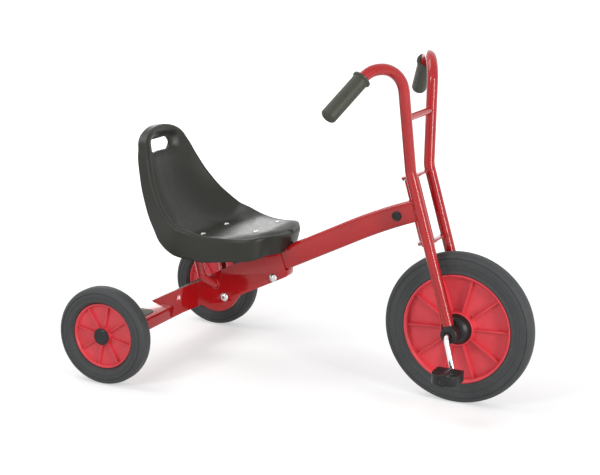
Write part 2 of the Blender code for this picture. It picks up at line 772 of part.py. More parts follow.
def pedal(side, name):
    """A ribbed block on the crank pin, its washer on the pin and a plug over both."""
    centre = crank_end(side)
    outer = PEDAL_START + PEDAL_WIDTH
    half = PEDAL_LENGTH / 2
    corner, inner_corner = PEDAL_CORNER, PEDAL_INNER_CORNER
    corners = [(-half, PEDAL_START), (half, PEDAL_START), (half, outer), (-half, outer)]
    closed = [*corners, corners[0], corners[1]]
    path = rounded_path([(x, y, 0.0) for x, y in closed],
                        [inner_corner, corner, corner, inner_corner], math.radians(15.0))
    outline = [(point.x, point.y * side) for point in path[1:-1]]
    block = plate(f"pedal_{name}", outline, PEDAL_THICKNESS / 2, BLACK_PLASTIC,
                  Matrix.Translation(centre), PEDAL_SPIN[side])
    soften(block, PEDAL_EDGE, 1)
    inward = PEDAL_EDGE / 2
    boss = rod(f"pedal_boss_{name}", PEDAL_BOSS_RADIUS,
               centre + Y_AXIS * side * (PEDAL_START + inward),
               centre + Y_AXIS * side * (outer - inward), group=CUTTERS)
    boolean(block, boss, "UNION")
    bore = rod(f"pedal_bore_{name}", AXLE_RADIUS + RUN, centre,
               centre + Y_AXIS * side * (outer + CUT_BEYOND), group=CUTTERS)
    boolean(block, bore)
    pocket_floor = outer - PEDAL_POCKET
    pocket = rod(f"pedal_pocket_{name}", PEDAL_PLUG_RADIUS + GAP,
                 centre + Y_AXIS * side * pocket_floor,
                 centre + Y_AXIS * side * (outer + CUT_BEYOND), group=CUTTERS)
    boolean(block, pocket)
    boolean(block, pedal_treads(f"pedal_tread_{name}", centre, side))
    washer_at = pocket_floor + GAP
    washer = [
        (PEDAL_RETAINER_RADIUS, washer_at + PEDAL_RETAINER_THICKNESS),
        (PEDAL_RETAINER_RADIUS, washer_at),
        (AXLE_RADIUS + GAP, washer_at),
        (AXLE_RADIUS + GAP, washer_at + PEDAL_RETAINER_THICKNESS),
    ]
    turned(f"pedal_retainer_{name}", washer, ZINC_STEEL, Y_AXIS * side, centre, FRONT_SPIN)
    plug = [
        (0.0, outer),
        (PEDAL_PLUG_RADIUS - 0.001, outer),
        (PEDAL_PLUG_RADIUS, outer - 0.001),
        (PEDAL_PLUG_RADIUS, outer - PEDAL_PLUG_DEPTH),
        (0.0, outer - PEDAL_PLUG_DEPTH),
    ]
    turned(f"pedal_plug_{name}", plug, BLACK_PLASTIC, Y_AXIS * side, centre,
           PEDAL_SPIN[side], ring=False)


def pedal_treads(name, centre, side):
    """The cutter for the grooves across both wings of a pedal, above and below."""
    treads = bmesh.new()
    length = PEDAL_GROOVE_OUTER - PEDAL_GROOVE_INNER
    middle = PEDAL_START + PEDAL_WIDTH / 2
    for index in range(PEDAL_GROOVES):
        y = side * (middle + (index - (PEDAL_GROOVES - 1) / 2) * PEDAL_GROOVE_PITCH)
        for wing in (-1, 1):
            x = wing * (PEDAL_GROOVE_INNER + length / 2)
            for face in (-1, 1):
                cube = bmesh.ops.create_cube(treads, size=1.0)["verts"]
                bmesh.ops.scale(treads, verts=cube,
                                vec=(length, PEDAL_GROOVE_WIDTH, 2 * PEDAL_GROOVE_DEPTH))
                bmesh.ops.translate(treads, verts=cube, vec=(x, y, face * PEDAL_THICKNESS / 2))
    mesh = bpy.data.meshes.new(name)
    treads.to_mesh(mesh)
    treads.free()
    tread = bpy.data.objects.new(name, mesh)
    tread.matrix_world = Matrix.Translation(centre)
    return link(tread, group=CUTTERS)


def bearing_housing(side, name):
    """The black bearing block that closes the foot of a fork blade and carries the axle."""
    bore = AXLE_RADIUS + RUN
    outer = HOUSING_RADIUS
    lip = HOUSING_LIP
    profile = [
        (bore, HOUSING_OUTER),
        (HOUSING_MOUTH, HOUSING_OUTER),
        (HOUSING_MOUTH + 0.0008, HOUSING_OUTER - 0.0015),
        (outer - 0.0025, HOUSING_OUTER - 0.0020),
        (outer, HOUSING_OUTER - lip),
        (outer, HOUSING_INNER + 0.0015),
        (outer - 0.0015, HOUSING_INNER),
        (bore, HOUSING_INNER),
    ]
    block = turned(f"bearing_housing_{name}", profile, BLACK_PLASTIC, Y_AXIS * side,
                   FRONT_AXLE, STEERING)
    collar = rod(f"housing_collar_{name}", STEER_TUBE_RADIUS,
                 blade_point(HOUSING_COLLAR_START, side * BLADE_HALF_GAP),
                 blade_point(BLADE_START - GAP, side * BLADE_HALF_GAP), group=CUTTERS)
    boolean(block, collar, "UNION")
    return block


def sided(place, side):
    """A place or direction given for the left, moved to the side that is asked for."""
    return Vector((place[0], place[1] * side, place[2]))


def eased(start, leave, end, arrive, steps):
    """Points of a smooth bend between two places, after the first."""
    reach = (end - start).length * 1.12
    leave, arrive = leave.normalized() * reach, arrive.normalized() * reach
    points = []
    for index in range(1, steps + 1):
        share = index / steps
        cube, square = share ** 3, share ** 2
        points.append((2 * cube - 3 * square + 1) * start + (cube - 2 * square + share) * leave
                      + (3 * square - 2 * cube) * end + (cube - square) * arrive)
    return points


def fork_path(side):
    """Middle line of one bent tube: fork blade, kink, upright, top bend and grip."""
    foot = blade_point(BLADE_START, side * BLADE_HALF_GAP)
    kink = blade_point(KINK_AT, side * BLADE_HALF_GAP)
    bend = kink + sided(BEND_START, side)
    top = kink + sided(BEND_TOP, side)
    grip_at = kink + sided(GRIP_START, side)
    down = sided(GRIP_DIRECTION, side).normalized()
    over = grip_at - bend
    over.z = 0.0
    end = grip_at + down * (GRIP_LENGTH - GRIP_END_WALL - GAP)
    path = rounded_path([foot, kink, bend], [KINK_BEND])
    path += eased(bend, bend - kink, top, over, BEND_STEPS)
    path += eased(top, over, grip_at, down, BEND_STEPS - 2)
    path.append(end)
    return path, grip_at, down


def steering():
    """Fork and handlebar tubes, yokes, brace, grips, head pin and nut."""
    cut_tubes = []
    for side, name in SIDES:
        path, grip_at, down = fork_path(side)
        hollow_tube(f"fork_tube_{name}", path, STEER_TUBE_RADIUS, RED_PAINT, STEERING)
        cut_tubes.append(tube_mesh(f"fork_space_{name}", path, STEER_TUBE_RADIUS + GAP,
                                   group=CUTTERS))
        grip(f"grip_{name}", grip_at, down)
        bearing_housing(side, name)
    share = BRACE_RISE / BEND_START[2]
    brace_half = BLADE_HALF_GAP + BEND_START[1] * share
    level = blade_point(KINK_AT) + Vector((BEND_START[0] * share, 0.0, BRACE_RISE))
    brace = rod("handlebar_brace", BRACE_RADIUS, level - Y_AXIS * brace_half,
                level + Y_AXIS * brace_half, RED_PAINT, STEERING, sides=16)
    lower = yoke("lower_yoke", LOWER_YOKE_AT)
    upper = yoke("upper_yoke", UPPER_YOKE_AT)
    for piece in (brace, lower, upper):
        for tube in cut_tubes:
            boolean(piece, tube)
    steering_pin()


def grip(name, start, direction):
    """A moulded grip: flanged sleeve with a closed round end, pushed over the tube."""
    body = GRIP_RADIUS
    bore = STEER_TUBE_RADIUS + GAP * 1.5
    length = GRIP_LENGTH
    dome = GRIP_END_WALL
    curve = [(body * math.cos(math.radians(a)), length - dome + dome * math.sin(math.radians(a)))
             for a in (90.0, 68.0, 45.0, 22.0, 0.0)]
    profile = [(0.0, length), *curve[1:],
               (body, GRIP_FLANGE_WIDTH + 0.002),
               (GRIP_FLANGE_RADIUS, GRIP_FLANGE_WIDTH),
               (GRIP_FLANGE_RADIUS, 0.0015),
               (GRIP_FLANGE_RADIUS - 0.0015, 0.0),
               (bore, 0.0),
               (bore, length - dome),
               (0.0, length - dome)]
    turned(name, profile, GRIP_RUBBER, direction, start, STEERING, ring=False)


def yoke(name, along):
    """A flat plate between the blades with a round nose about the steering pin."""
    nose = YOKE_NOSE_RADIUS
    front, rear = YOKE_ARM_FRONT, YOKE_ARM_REAR
    reach = BLADE_HALF_GAP
    back = AXIS_BEHIND_BLADES
    nose_arc = [(-back - nose * math.sin(angle), nose * math.cos(angle))
                for angle in [math.radians(a) for a in range(0, 181, 15)]]
    outline = [(front, -reach), (front, reach), (rear, reach), (rear, YOKE_NOSE_FLARE),
               *nose_arc, (rear, -YOKE_NOSE_FLARE), (rear, -reach)]
    matrix = facing(STEER_UP, blade_point(along))
    turn = Matrix.Rotation(yoke_turn(matrix), 4, "Z")
    made = plate(name, outline, YOKE_THICKNESS / 2, RED_PAINT, matrix @ turn, STEERING)
    hole = rod(name + "_hole", PIN_RADIUS + GAP, steer_point(along - 0.02),
               steer_point(along + 0.02), group=CUTTERS)
    boolean(made, hole)
    return made


def yoke_turn(matrix):
    """Angle that turns a plate's own X to the front."""
    front = matrix.to_3x3().inverted() @ -STEER_BACK
    return math.atan2(front.y, front.x)


def steering_pin():
    """The long bolt through both yokes and the head tube, and its flanged nut."""
    top = UPPER_YOKE_AT + YOKE_THICKNESS / 2 + GAP
    nut_top = LOWER_YOKE_AT - YOKE_THICKNESS / 2 - GAP
    nut_bottom = nut_top - WASHER_THICKNESS - NUT_HEIGHT
    end = nut_bottom - 0.002
    head = PIN_HEAD_RADIUS
    profile = [
        (0.0, top + PIN_HEAD_HEIGHT),
        (head * 0.55, top + PIN_HEAD_HEIGHT * 0.93),
        (head * 0.88, top + PIN_HEAD_HEIGHT * 0.62),
        (head, top + PIN_HEAD_HEIGHT * 0.2),
        (head, top),
        (PIN_RADIUS, top),
        (PIN_RADIUS, end + 0.001),
        (PIN_RADIUS - 0.001, end),
        (0.0, end),
    ]
    foot = steer_point(0.0)
    turned("steering_pin", profile, ZINC_STEEL, STEER_UP, foot, STEERING, ring=False)
    bore = PIN_RADIUS + GAP
    flange = [
        (0.0, nut_top),
        (WASHER_RADIUS, nut_top),
        (WASHER_RADIUS, nut_top - WASHER_THICKNESS),
        (0.0, nut_top - WASHER_THICKNESS),
    ]
    nut = turned("steering_nut", flange, ZINC_STEEL, STEER_UP, foot, STEERING, ring=False)
    body = rod("steering_nut_body", STEER_NUT_FLATS / math.sqrt(3.0), steer_point(nut_bottom),
               steer_point(nut_top - WASHER_THICKNESS / 2), group=CUTTERS, sides=6)
    clear = rod("steering_nut_bore", bore, steer_point(nut_bottom - 0.01),
                steer_point(nut_top + 0.01), group=CUTTERS)
    boolean(nut, body, "UNION")
    boolean(nut, clear)


def head():
    """Head tube and the two flanged bushes that the steering pin turns in."""
    low = LOWER_YOKE_AT + YOKE_THICKNESS / 2 + RUN
    high = UPPER_YOKE_AT - YOKE_THICKNESS / 2 - RUN
    tube_low = low + BUSH_FLANGE + GAP
    tube_high = high - BUSH_FLANGE - GAP
    inner = HEAD_RADIUS - HEAD_WALL
    foot = steer_point(0.0)
    shell = [(HEAD_RADIUS, tube_high), (HEAD_RADIUS, tube_low),
             (inner, tube_low), (inner, tube_high)]
    turned("head_tube", shell, RED_PAINT, STEER_UP, foot)
    sleeve = inner - GAP
    bore = PIN_RADIUS + RUN
    upper = [(WASHER_RADIUS, high), (WASHER_RADIUS, high - BUSH_FLANGE),
             (sleeve, high - BUSH_FLANGE), (sleeve, high - BUSH_LENGTH),
             (bore, high - BUSH_LENGTH), (bore, high)]
    lower = [(sleeve, low + BUSH_LENGTH), (sleeve, low + BUSH_FLANGE),
             (HEAD_RADIUS, low + BUSH_FLANGE), (HEAD_RADIUS, low),
             (bore, low), (bore, low + BUSH_LENGTH)]
    turned("upper_head_bush", upper, ZINC_STEEL, STEER_UP, foot)
    turned("lower_head_bush", lower, ZINC_STEEL, STEER_UP, foot)


def beam_outline(front, rear, inset=0.0):
    """Side view of the beam between two distances from the rear axle."""
    stations = [rear, BEAM_BEND_START]
    bend = [BEAM_BEND_START + (front - BEAM_BEND_START) * step / 5 for step in range(1, 6)]
    stations += bend
    top = [(x, beam_height(x) + beam_half_depth(x) - inset) for x in stations]
    bottom = [(x, beam_height(x) - beam_half_depth(x) + inset) for x in reversed(stations)]
    corner = rear - math.tan(BEAM_SLOPE) * (beam_half_depth(rear) - inset)
    top[0] = (corner, beam_height(corner) + beam_half_depth(rear) - inset)
    return top + bottom


def frame_beam():
    """The rectangular main beam, hollow and open at its rear end."""
    front = HEAD_X + HEAD_RADIUS * 0.3
    matrix = upright(x=REAR_X)
    beam = plate("main_beam", beam_outline(front, BEAM_REAR), BEAM_WIDTH / 2, RED_PAINT, matrix)
    soften(beam, BEAM_CORNER, 2, 60.0)
    hollow = beam_outline(front - BEAM_HOLLOW_SHORT, BEAM_REAR - BEAM_DEPTH / 2, BEAM_WALL)
    tunnel = plate("beam_tunnel", hollow, BEAM_WIDTH / 2 - BEAM_WALL, matrix=matrix,
                   group=CUTTERS)
    soften(tunnel, BEAM_CORNER - BEAM_WALL, 2, 60.0)
    boolean(beam, tunnel)
    space = rod("head_space", HEAD_RADIUS + GAP, steer_point(LOWER_YOKE_AT - 0.05),
                steer_point(UPPER_YOKE_AT + 0.05), group=CUTTERS)
    boolean(beam, space)
    centre = Vector((REAR_X + BEAM_PLUG_X, 0.0, beam_height(BEAM_PLUG_X)))
    hole = rod("plug_holes", BEAM_PLUG_SHANK + GAP, centre - Y_AXIS * BEAM_WIDTH,
               centre + Y_AXIS * BEAM_WIDTH, group=CUTTERS)
    boolean(beam, hole)
    for side, name in SIDES:
        beam_plug(side, name, centre)


def beam_plug(side, name, centre):
    """A black round plug with a shallow dish, pushed in a hole in the beam's side."""
    face = BEAM_WIDTH / 2 + GAP
    profile = [
        (0.0, face + BEAM_PLUG_HEIGHT - BEAM_PLUG_DISH),
        (BEAM_PLUG_RADIUS * 0.35, face + BEAM_PLUG_HEIGHT - BEAM_PLUG_DISH),
        (BEAM_PLUG_RADIUS * 0.45, face + BEAM_PLUG_HEIGHT),
        (BEAM_PLUG_RADIUS * 0.80, face + BEAM_PLUG_HEIGHT),
        (BEAM_PLUG_RADIUS, face + BEAM_PLUG_HEIGHT * 0.4),
        (BEAM_PLUG_RADIUS, face),
        (BEAM_PLUG_SHANK, face),
        (BEAM_PLUG_SHANK, face - BEAM_PLUG_LENGTH),
        (0.0, face - BEAM_PLUG_LENGTH),
    ]
    turned(f"beam_plug_{name}", profile, BLACK_PLASTIC, Y_AXIS * side, centre, ring=False)


def beam_keel():
    """The solid bar welded under the beam's rear end, which the clamp bolts pass through."""
    rear = BEAM_REAR + KEEL_REAR_SHORT
    front = CHANNEL_FRONT + KEEL_FRONT_OVERHANG

    def under(x, drop):
        return beam_height(x) - beam_half_depth(x) - drop

    depth = KEEL_DEPTH
    corners = [(rear, under(rear, GAP)), (front, under(front, GAP)),
               (front, under(front, depth)), (rear, under(rear, depth))]
    outline = rounded_outline(corners, [KEEL_EDGE, KEEL_FRONT_ROUND, KEEL_EDGE, KEEL_EDGE])
    keel = plate("beam_keel", outline, BEAM_WIDTH / 2 - GAP, RED_PAINT, upright(x=REAR_X))
    for index, x in enumerate((LOBE_AT, FRONT_BOLT_AT)):
        centre = Vector((REAR_X + x, 0.0, bolt_height(x)))
        hole = rod(f"keel_hole_{index}", BOLT_RADIUS + GAP, centre - Y_AXIS * 0.04,
                   centre + Y_AXIS * 0.04, group=CUTTERS)
        boolean(keel, hole)


def wall_bottom(x):
    """Lower edge of the channel in front of its lobe, level with the keel's underside."""
    return beam_height(x) - beam_half_depth(x) - KEEL_DEPTH


def channel_outline():
    """Side view of the channel walls, with the round lobe about the rear clamp bolt."""
    foot = PLATE_TOP + GAP
    step_end = CHANNEL_STEP_X + CHANNEL_STEP_RUN

    def top(x):
        return beam_height(x) + beam_half_depth(x) + CHANNEL_TOP_MARGIN

    front_top = CHANNEL_FRONT - CHANNEL_FRONT_LEAN
    front_edge = PLATE_FRONT + GAP
    nose = CHANNEL_FRONT + CHANNEL_FRONT_LEAN / 2
    corners = [
        (nose, wall_bottom(nose) + KEEL_DEPTH * 0.7),
        (nose - CHANNEL_FRONT_LEAN / 6, wall_bottom(nose)),
        (LOBE_AT + LOBE_FRONT, wall_bottom(LOBE_AT + LOBE_FRONT)),
        (LOBE_AT + LOBE_CORNER[0], bolt_height(LOBE_AT) + LOBE_CORNER[1]),
        (LOBE_AT - LOBE_REAR, channel_foot(LOBE_AT - LOBE_REAR)),
    ]
    lower = rounded_path([(x, z, 0.0) for x, z in corners],
                         [KEEL_DEPTH / 3, LOBE_FRONT_ROUND, LOBE_ROUND])
    return [
        (CHANNEL_TAIL, foot),
        (CHANNEL_STEP_X, channel_top(CHANNEL_STEP_X)),
        (step_end, top(step_end)),
        (front_top, top(front_top)),
        *[(point.x, point.y) for point in lower],
        (front_edge, channel_foot(front_edge)),
        (front_edge, foot),
    ]


def far_wall_trim():
    """Side view of what the left wall lacks: it has no lobe, only a straight lower edge."""
    rear = LOBE_AT - LOBE_REAR - FAR_WALL_CLEARANCE * 10
    turn = LOBE_AT - LOBE_FRONT / 2
    front = LOBE_AT + LOBE_FRONT + FAR_WALL_CLEARANCE * 20
    low = bolt_height(LOBE_AT) - LOBE_ROUND
    return [
        (rear, channel_foot(rear) - FAR_WALL_CLEARANCE * 4),
        (turn, wall_bottom(turn) + FAR_WALL_CLEARANCE),
        (front, wall_bottom(front) - FAR_WALL_CLEARANCE * 2),
        (front, low),
        (rear, low),
    ]


def rear_channel():
    """Open channel of bent sheet that stands on the step plate and holds the beam."""
    matrix = upright(x=REAR_X)
    channel = plate("rear_channel", channel_outline(), CHANNEL_OUTER, RED_PAINT, matrix)
    floor_end = BEAM_REAR - CHANNEL_FLOOR_SHORT
    wall = CHANNEL_WALL
    tail = CHANNEL_TAIL - BEAM_DEPTH
    front = CHANNEL_FRONT + BEAM_DEPTH
    low = channel_foot(PLATE_FRONT) - BEAM_DEPTH
    high = beam_height(front) + 2 * BEAM_DEPTH
    fold = PLATE_FRONT + GAP + wall
    space = [
        (tail, PLATE_TOP + GAP + wall),
        (fold - wall * 0.4, PLATE_TOP + GAP + wall),
        (fold + wall, channel_foot(fold) + wall * 2.2),
        (floor_end, channel_foot(floor_end) + wall * 1.1),
        (floor_end, low),
        (front, low),
        (front, high),
        (tail, high),
    ]
    hollow = plate("channel_space", space, CHANNEL_INNER, matrix=matrix, group=CUTTERS)
    boolean(channel, hollow)
    trim = plate("far_wall_trim", far_wall_trim(), CHANNEL_WALL,
                 matrix=upright(x=REAR_X, y=CHANNEL_OUTER), group=CUTTERS)
    boolean(channel, trim)
    for index, x in enumerate((LOBE_AT, FRONT_BOLT_AT)):
        centre = Vector((REAR_X + x, 0.0, bolt_height(x)))
        hole = rod(f"channel_hole_{index}", BOLT_RADIUS + GAP, centre - Y_AXIS * 0.04,
                   centre + Y_AXIS * 0.04, group=CUTTERS)
        boolean(channel, hole)
        clamp_bolt("rear" if index == 0 else "front", centre)


def clamp_bolt(name, centre):
    """A dome-headed bolt across the channel, with its head on the right and a nut."""
    face = CHANNEL_OUTER + GAP
    head = BOLT_HEAD_RADIUS
    tall = BOLT_HEAD_HEIGHT
    end = face + BOLT_NUT_HEIGHT + GAP + BOLT_END
    profile = [
        (0.0, face + tall),
        (head * 0.40, face + tall * 0.92),
        (head * 0.75, face + tall * 0.64),
        (head * 0.96, face + tall * 0.25),
        (head, face),
        (BOLT_RADIUS, face),
        (BOLT_RADIUS, -end + BOLT_CHAMFER),
        (BOLT_RADIUS - BOLT_CHAMFER, -end),
        (0.0, -end),
    ]
    turned(f"{name}_clamp_bolt", profile, ZINC_STEEL, -Y_AXIS, centre, ring=False)
    nut_at = centre + Y_AXIS * (face + BOLT_NUT_HEIGHT / 2)
    hexagon(f"{name}_clamp_nut", BOLT_NUT_FLATS, BOLT_NUT_HEIGHT, BOLT_RADIUS + GAP,
            ZINC_STEEL, Y_AXIS, nut_at)


def step_plate():
    """Folded sheet across the back, with a flange down at the front and at the rear."""
    top, wall, fold = PLATE_TOP, SHEET, PLATE_FOLD
    low, rear_low = top - PLATE_FLANGE, top - PLATE_REAR_FLANGE
    corners = [
        (PLATE_REAR, rear_low),
        (PLATE_REAR, top),
        (PLATE_FRONT, top),
        (PLATE_FRONT, low),
        (PLATE_FRONT - wall, low),
        (PLATE_FRONT - wall, top - wall),
        (PLATE_REAR + wall, top - wall),
        (PLATE_REAR + wall, rear_low),
    ]
    edge, inside = wall * 0.3, fold - wall
    radii = [fold, fold, edge, edge, inside, inside, edge, edge]
    outline = rounded_outline(corners, radii)
    plate("step_plate", outline, PLATE_HALF_SPAN, RED_PAINT, upright(x=REAR_X))
    for side, name in SIDES:
        inner, outer = side * PAD_INNER, side * PAD_OUTER
        pad = [(PAD_REAR, inner), (PAD_FRONT, inner), (PAD_FRONT, outer), (PAD_REAR, outer)]
        half = PAD_THICKNESS / 2
        place = Matrix.Translation((REAR_X, 0.0, PLATE_TOP + GAP + half))
        plate(f"step_pad_{name}", rounded_outline(pad, [PAD_CORNER] * 4), half, GRIP_RUBBER,
              place)


def rounded_outline(corners, radii):
    """A closed flat outline with its corners rounded; radii start at the second corner."""
    closed = [(x, z, 0.0) for x, z in [*corners, corners[0], corners[1]]]
    return [(point.x, point.y) for point in rounded_path(closed, radii, math.radians(22.5))[1:-1]]


def gussets():
    """Sloping sides that spread the channel out on to the step plate and its flange."""
    wall = CHANNEL_OUTER + GAP
    for side, name in SIDES:
        made_mesh = bmesh.new()
        rings = []
        for x in gusset_stations():
            spread = gusset_spread(x)
            foot = channel_foot(max(x, PLATE_FRONT))
            top = channel_top(x)
            corners = [(wall, foot), (wall, top), (wall + GUSSET_LEAST, top),
                       (wall + spread, foot)]
            rings.append([made_mesh.verts.new((x, y * side, z)) for y, z in corners])
        for one, two in zip(rings, rings[1:]):
            for index in range(4):
                after = (index + 1) % 4
                made_mesh.faces.new((one[index], one[after], two[after], two[index]))
        made_mesh.faces.new(rings[0])
        made_mesh.faces.new(rings[-1])
        bmesh.ops.recalc_face_normals(made_mesh, faces=made_mesh.faces)
        mesh = bpy.data.meshes.new(f"gusset_{name}")
        made_mesh.to_mesh(mesh)
        made_mesh.free()
        smooth(mesh, 30.0)
        gusset = bpy.data.objects.new(f"gusset_{name}", mesh)
        gusset.matrix_world = Matrix.Translation((REAR_X, 0.0, 0.0))
        link(gusset, RED_PAINT)
        size = (0.4, 0.3, 0.2)
        corner = Vector((REAR_X + PLATE_FRONT + GAP - size[0] / 2, 0.0,
                         PLATE_TOP + GAP - size[2] / 2))
        block = box(f"plate_space_{name}", size, Matrix.Translation(corner), group=CUTTERS)
        boolean(gusset, block)


def gusset_stations():
    """Distances from the rear axle at which the gusset's section is drawn."""
    rear_steps, front_steps = GUSSET_STEPS
    behind = [GUSSET_REAR + (PLATE_FRONT - GUSSET_REAR) * step / rear_steps
              for step in range(rear_steps)]
    ahead = [PLATE_FRONT + (GUSSET_FRONT - PLATE_FRONT) * step / front_steps
             for step in range(front_steps + 1)]
    return behind + ahead


def gusset_spread(x):
    """How far the gusset's foot stands out from the channel wall."""
    if x <= PLATE_FRONT:
        share = (x - GUSSET_REAR) / (PLATE_FRONT - GUSSET_REAR)
        return GUSSET_LEAST + GUSSET_SPREAD * share
    share = (GUSSET_FRONT - x) / (GUSSET_FRONT - PLATE_FRONT)
    return GUSSET_LEAST + GUSSET_SPREAD * share ** GUSSET_SWEEP


def rear_axle():
    """Axle tube under the step plate, the axle rod through it and its two nuts."""
    end = TRACK / 2 - HUB_INNER_REACH - AXLE_TUBE_END_GAP
    outer = PLATE_TOP - SHEET - GAP - REAR_TYRE_RADIUS
    shell = [(outer, end), (outer, -end), (REAR_AXLE_RADIUS + GAP, -end),
             (REAR_AXLE_RADIUS + GAP, end)]
    turned("axle_tube", shell, RED_PAINT, Y_AXIS, REAR_AXLE)
    tip = TRACK / 2 + HUB_POCKET_FLOOR + GAP + REAR_NUT_HEIGHT + AXLE_BEYOND_NUT
    rod("rear_axle", REAR_AXLE_RADIUS, REAR_AXLE - Y_AXIS * tip, REAR_AXLE + Y_AXIS * tip,
        ZINC_STEEL)
    for side, name in SIDES:
        nut_at = TRACK / 2 + HUB_POCKET_FLOOR + GAP + REAR_NUT_HEIGHT / 2
        hexagon(f"rear_axle_nut_{name}", REAR_NUT_FLATS, REAR_NUT_HEIGHT,
                REAR_AXLE_RADIUS + GAP, ZINC_STEEL, Y_AXIS * side,
                REAR_AXLE + Y_AXIS * side * nut_at)


def rear_wheel(side, name):
    """Tyre, ribbed disc, bearing bush and hub cap; Z of each profile points outwards."""
    owner = REAR_SPIN[side]
    centre = REAR_AXLE + Y_AXIS * side * TRACK / 2
    outward = Y_AXIS * side
    tyre(f"rear_tyre_{name}", REAR_TYRE_RADIUS, REAR_TYRE_WIDTH, REAR_RIM_RADIUS,
         REAR_RIM_WIDTH, REAR_STEPS, centre, owner)
    half = REAR_RIM_WIDTH / 2
    web = WEB_THICKNESS / 2
    lip = REAR_RIM_RADIUS - LIP_WALL
    boss = HUB_BOSS_RADIUS
    bore = REAR_BUSH_RADIUS + GAP
    profile = groove(REAR_RIM_RADIUS, half) + [
        (REAR_RIM_RADIUS, -half),
        (lip, -half),
        (lip - 0.0020, -half + 0.0030),
        (lip - 0.0035, -web),
        (boss + 0.0015, -web),
        (boss - 0.0020, -HUB_INNER_REACH),
        (bore, -HUB_INNER_REACH),
        (bore, HUB_POCKET_FLOOR - 0.0003),
        (HUB_POCKET_RADIUS, HUB_POCKET_FLOOR),
        (HUB_POCKET_RADIUS, HUB_FACE),
        (boss, HUB_FACE),
        (boss + 0.0015, web),
        (lip - 0.0035, web),
        (lip - 0.0020, half - 0.0030),
        (lip, half),
        (REAR_RIM_RADIUS, half),
    ]
    rim = turned(f"rear_rim_{name}", profile, RED_PLASTIC, outward, centre, owner,
                 REAR_STEPS, turn=math.pi / REAR_STEPS)
    ribs = rim_ribs(f"rear_ribs_{name}", REAR_RIBS, boss - 0.0020, REAR_RIM_RADIUS - RIB_END,
                    half - RIB_DROP / 2, centre, REAR_RIB_TURN)
    boolean(rim, ribs, "UNION")
    sleeve = [
        (REAR_BUSH_RADIUS, HUB_POCKET_FLOOR - 0.0005),
        (REAR_BUSH_RADIUS, -HUB_INNER_REACH),
        (REAR_AXLE_RADIUS + RUN, -HUB_INNER_REACH),
        (REAR_AXLE_RADIUS + RUN, HUB_POCKET_FLOOR - 0.0005),
    ]
    turned(f"rear_bush_{name}", sleeve, BLACK_PLASTIC, outward, centre, owner)
    face = HUB_FACE + GAP
    spigot = HUB_POCKET_RADIUS - GAP
    wall = REAR_CAP_WALL
    cap = [
        (0.0, face + REAR_CAP_THICKNESS),
        (REAR_CAP_RADIUS * 0.85, face + REAR_CAP_THICKNESS),
        (REAR_CAP_RADIUS, face + REAR_CAP_THICKNESS * 0.5),
        (REAR_CAP_RADIUS, face),
        (spigot, face),
        (spigot, face - REAR_CAP_SPIGOT),
        (spigot - wall, face - REAR_CAP_SPIGOT),
        (spigot - wall, face + 0.0002),
        (0.0, face + 0.0002),
    ]
    turned(f"rear_hub_cap_{name}", cap, BLACK_PLASTIC, outward, centre, owner, ring=False)


def sample(table, at, column):
    """A value read from a table by smooth interpolation along its first column."""
    keys = [row[0] for row in table]
    at = min(max(at, keys[0]), keys[-1])
    index = max(i for i in range(len(keys) - 1) if keys[i] <= at)
    share = (at - keys[index]) / (keys[index + 1] - keys[index])
    values = [row[column] for row in table]

    def slope(i):
        low, high = max(i - 1, 0), min(i + 1, len(keys) - 1)
        return (values[high] - values[low]) / (keys[high] - keys[low])

    span = keys[index + 1] - keys[index]
    one, two = values[index], values[index + 1]
    cube, square = share ** 3, share ** 2
    return ((2 * cube - 3 * square + 1) * one + (cube - 2 * square + share) * span * slope(index)
            + (3 * square - 2 * cube) * two + (cube - square) * span * slope(index + 1))


def seat_line():
    """The seat's middle line as a table of (distance from the top, forward, up)."""
    table = [(0.0, *SEAT_SPINE[0])]
    for one, two in zip(SEAT_SPINE, SEAT_SPINE[1:]):
        table.append((table[-1][0] + math.dist(one, two), *two))
    return table


SEAT_LINE = seat_line()
SEAT_END = SEAT_LINE[-1][0]


def seat_frame(distance):
    """Place on the middle line, its forward direction and the direction out of the seat."""
    step = SEAT_NORMAL_REACH
    here = Vector((sample(SEAT_LINE, distance, 1), 0.0, sample(SEAT_LINE, distance, 2)))
    low, high = max(0.0, distance - step), min(SEAT_END, distance + step)
    ahead = Vector((sample(SEAT_LINE, high, 1) - sample(SEAT_LINE, low, 1), 0.0,
                    sample(SEAT_LINE, high, 2) - sample(SEAT_LINE, low, 2))).normalized()
    return here, ahead, Vector((-ahead.z, 0.0, ahead.x))


def seat_half_width(distance):
    """Half width of the seat, which closes in a round at the top and at the front."""
    width = sample(SEAT_FORM, distance, 1)
    for (reach, power), gap in ((SEAT_TOP_ROUND, distance),
                                (SEAT_FRONT_ROUND, SEAT_END - distance)):
        if gap < reach:
            width *= math.sqrt(max(0.0, 1.0 - (1.0 - gap / reach) ** power))
    return width


def seat_point(distance, share):
    """A point of the seat's upper face; share runs from -1 to 1 across it."""
    here, _, out = seat_frame(distance)
    pan_start, pan_end = SEAT_PAN_RANGE
    pan = smooth_step((distance - pan_start) / (pan_end - pan_start))
    flat = SEAT_BACK_FLAT_SHARE + (SEAT_FLAT_SHARE - SEAT_BACK_FLAT_SHARE) * pan
    rise = max(0.0, (abs(share) - flat) / (1.0 - flat)) ** 2
    across = seat_half_width(distance) * share
    height = sample(SEAT_FORM, distance, 2) * rise - bowl_depth(distance, across)
    return here + out * height + Y_AXIS * across


def smooth_step(share):
    share = min(1.0, max(0.0, share))
    return share * share * (3.0 - 2.0 * share)


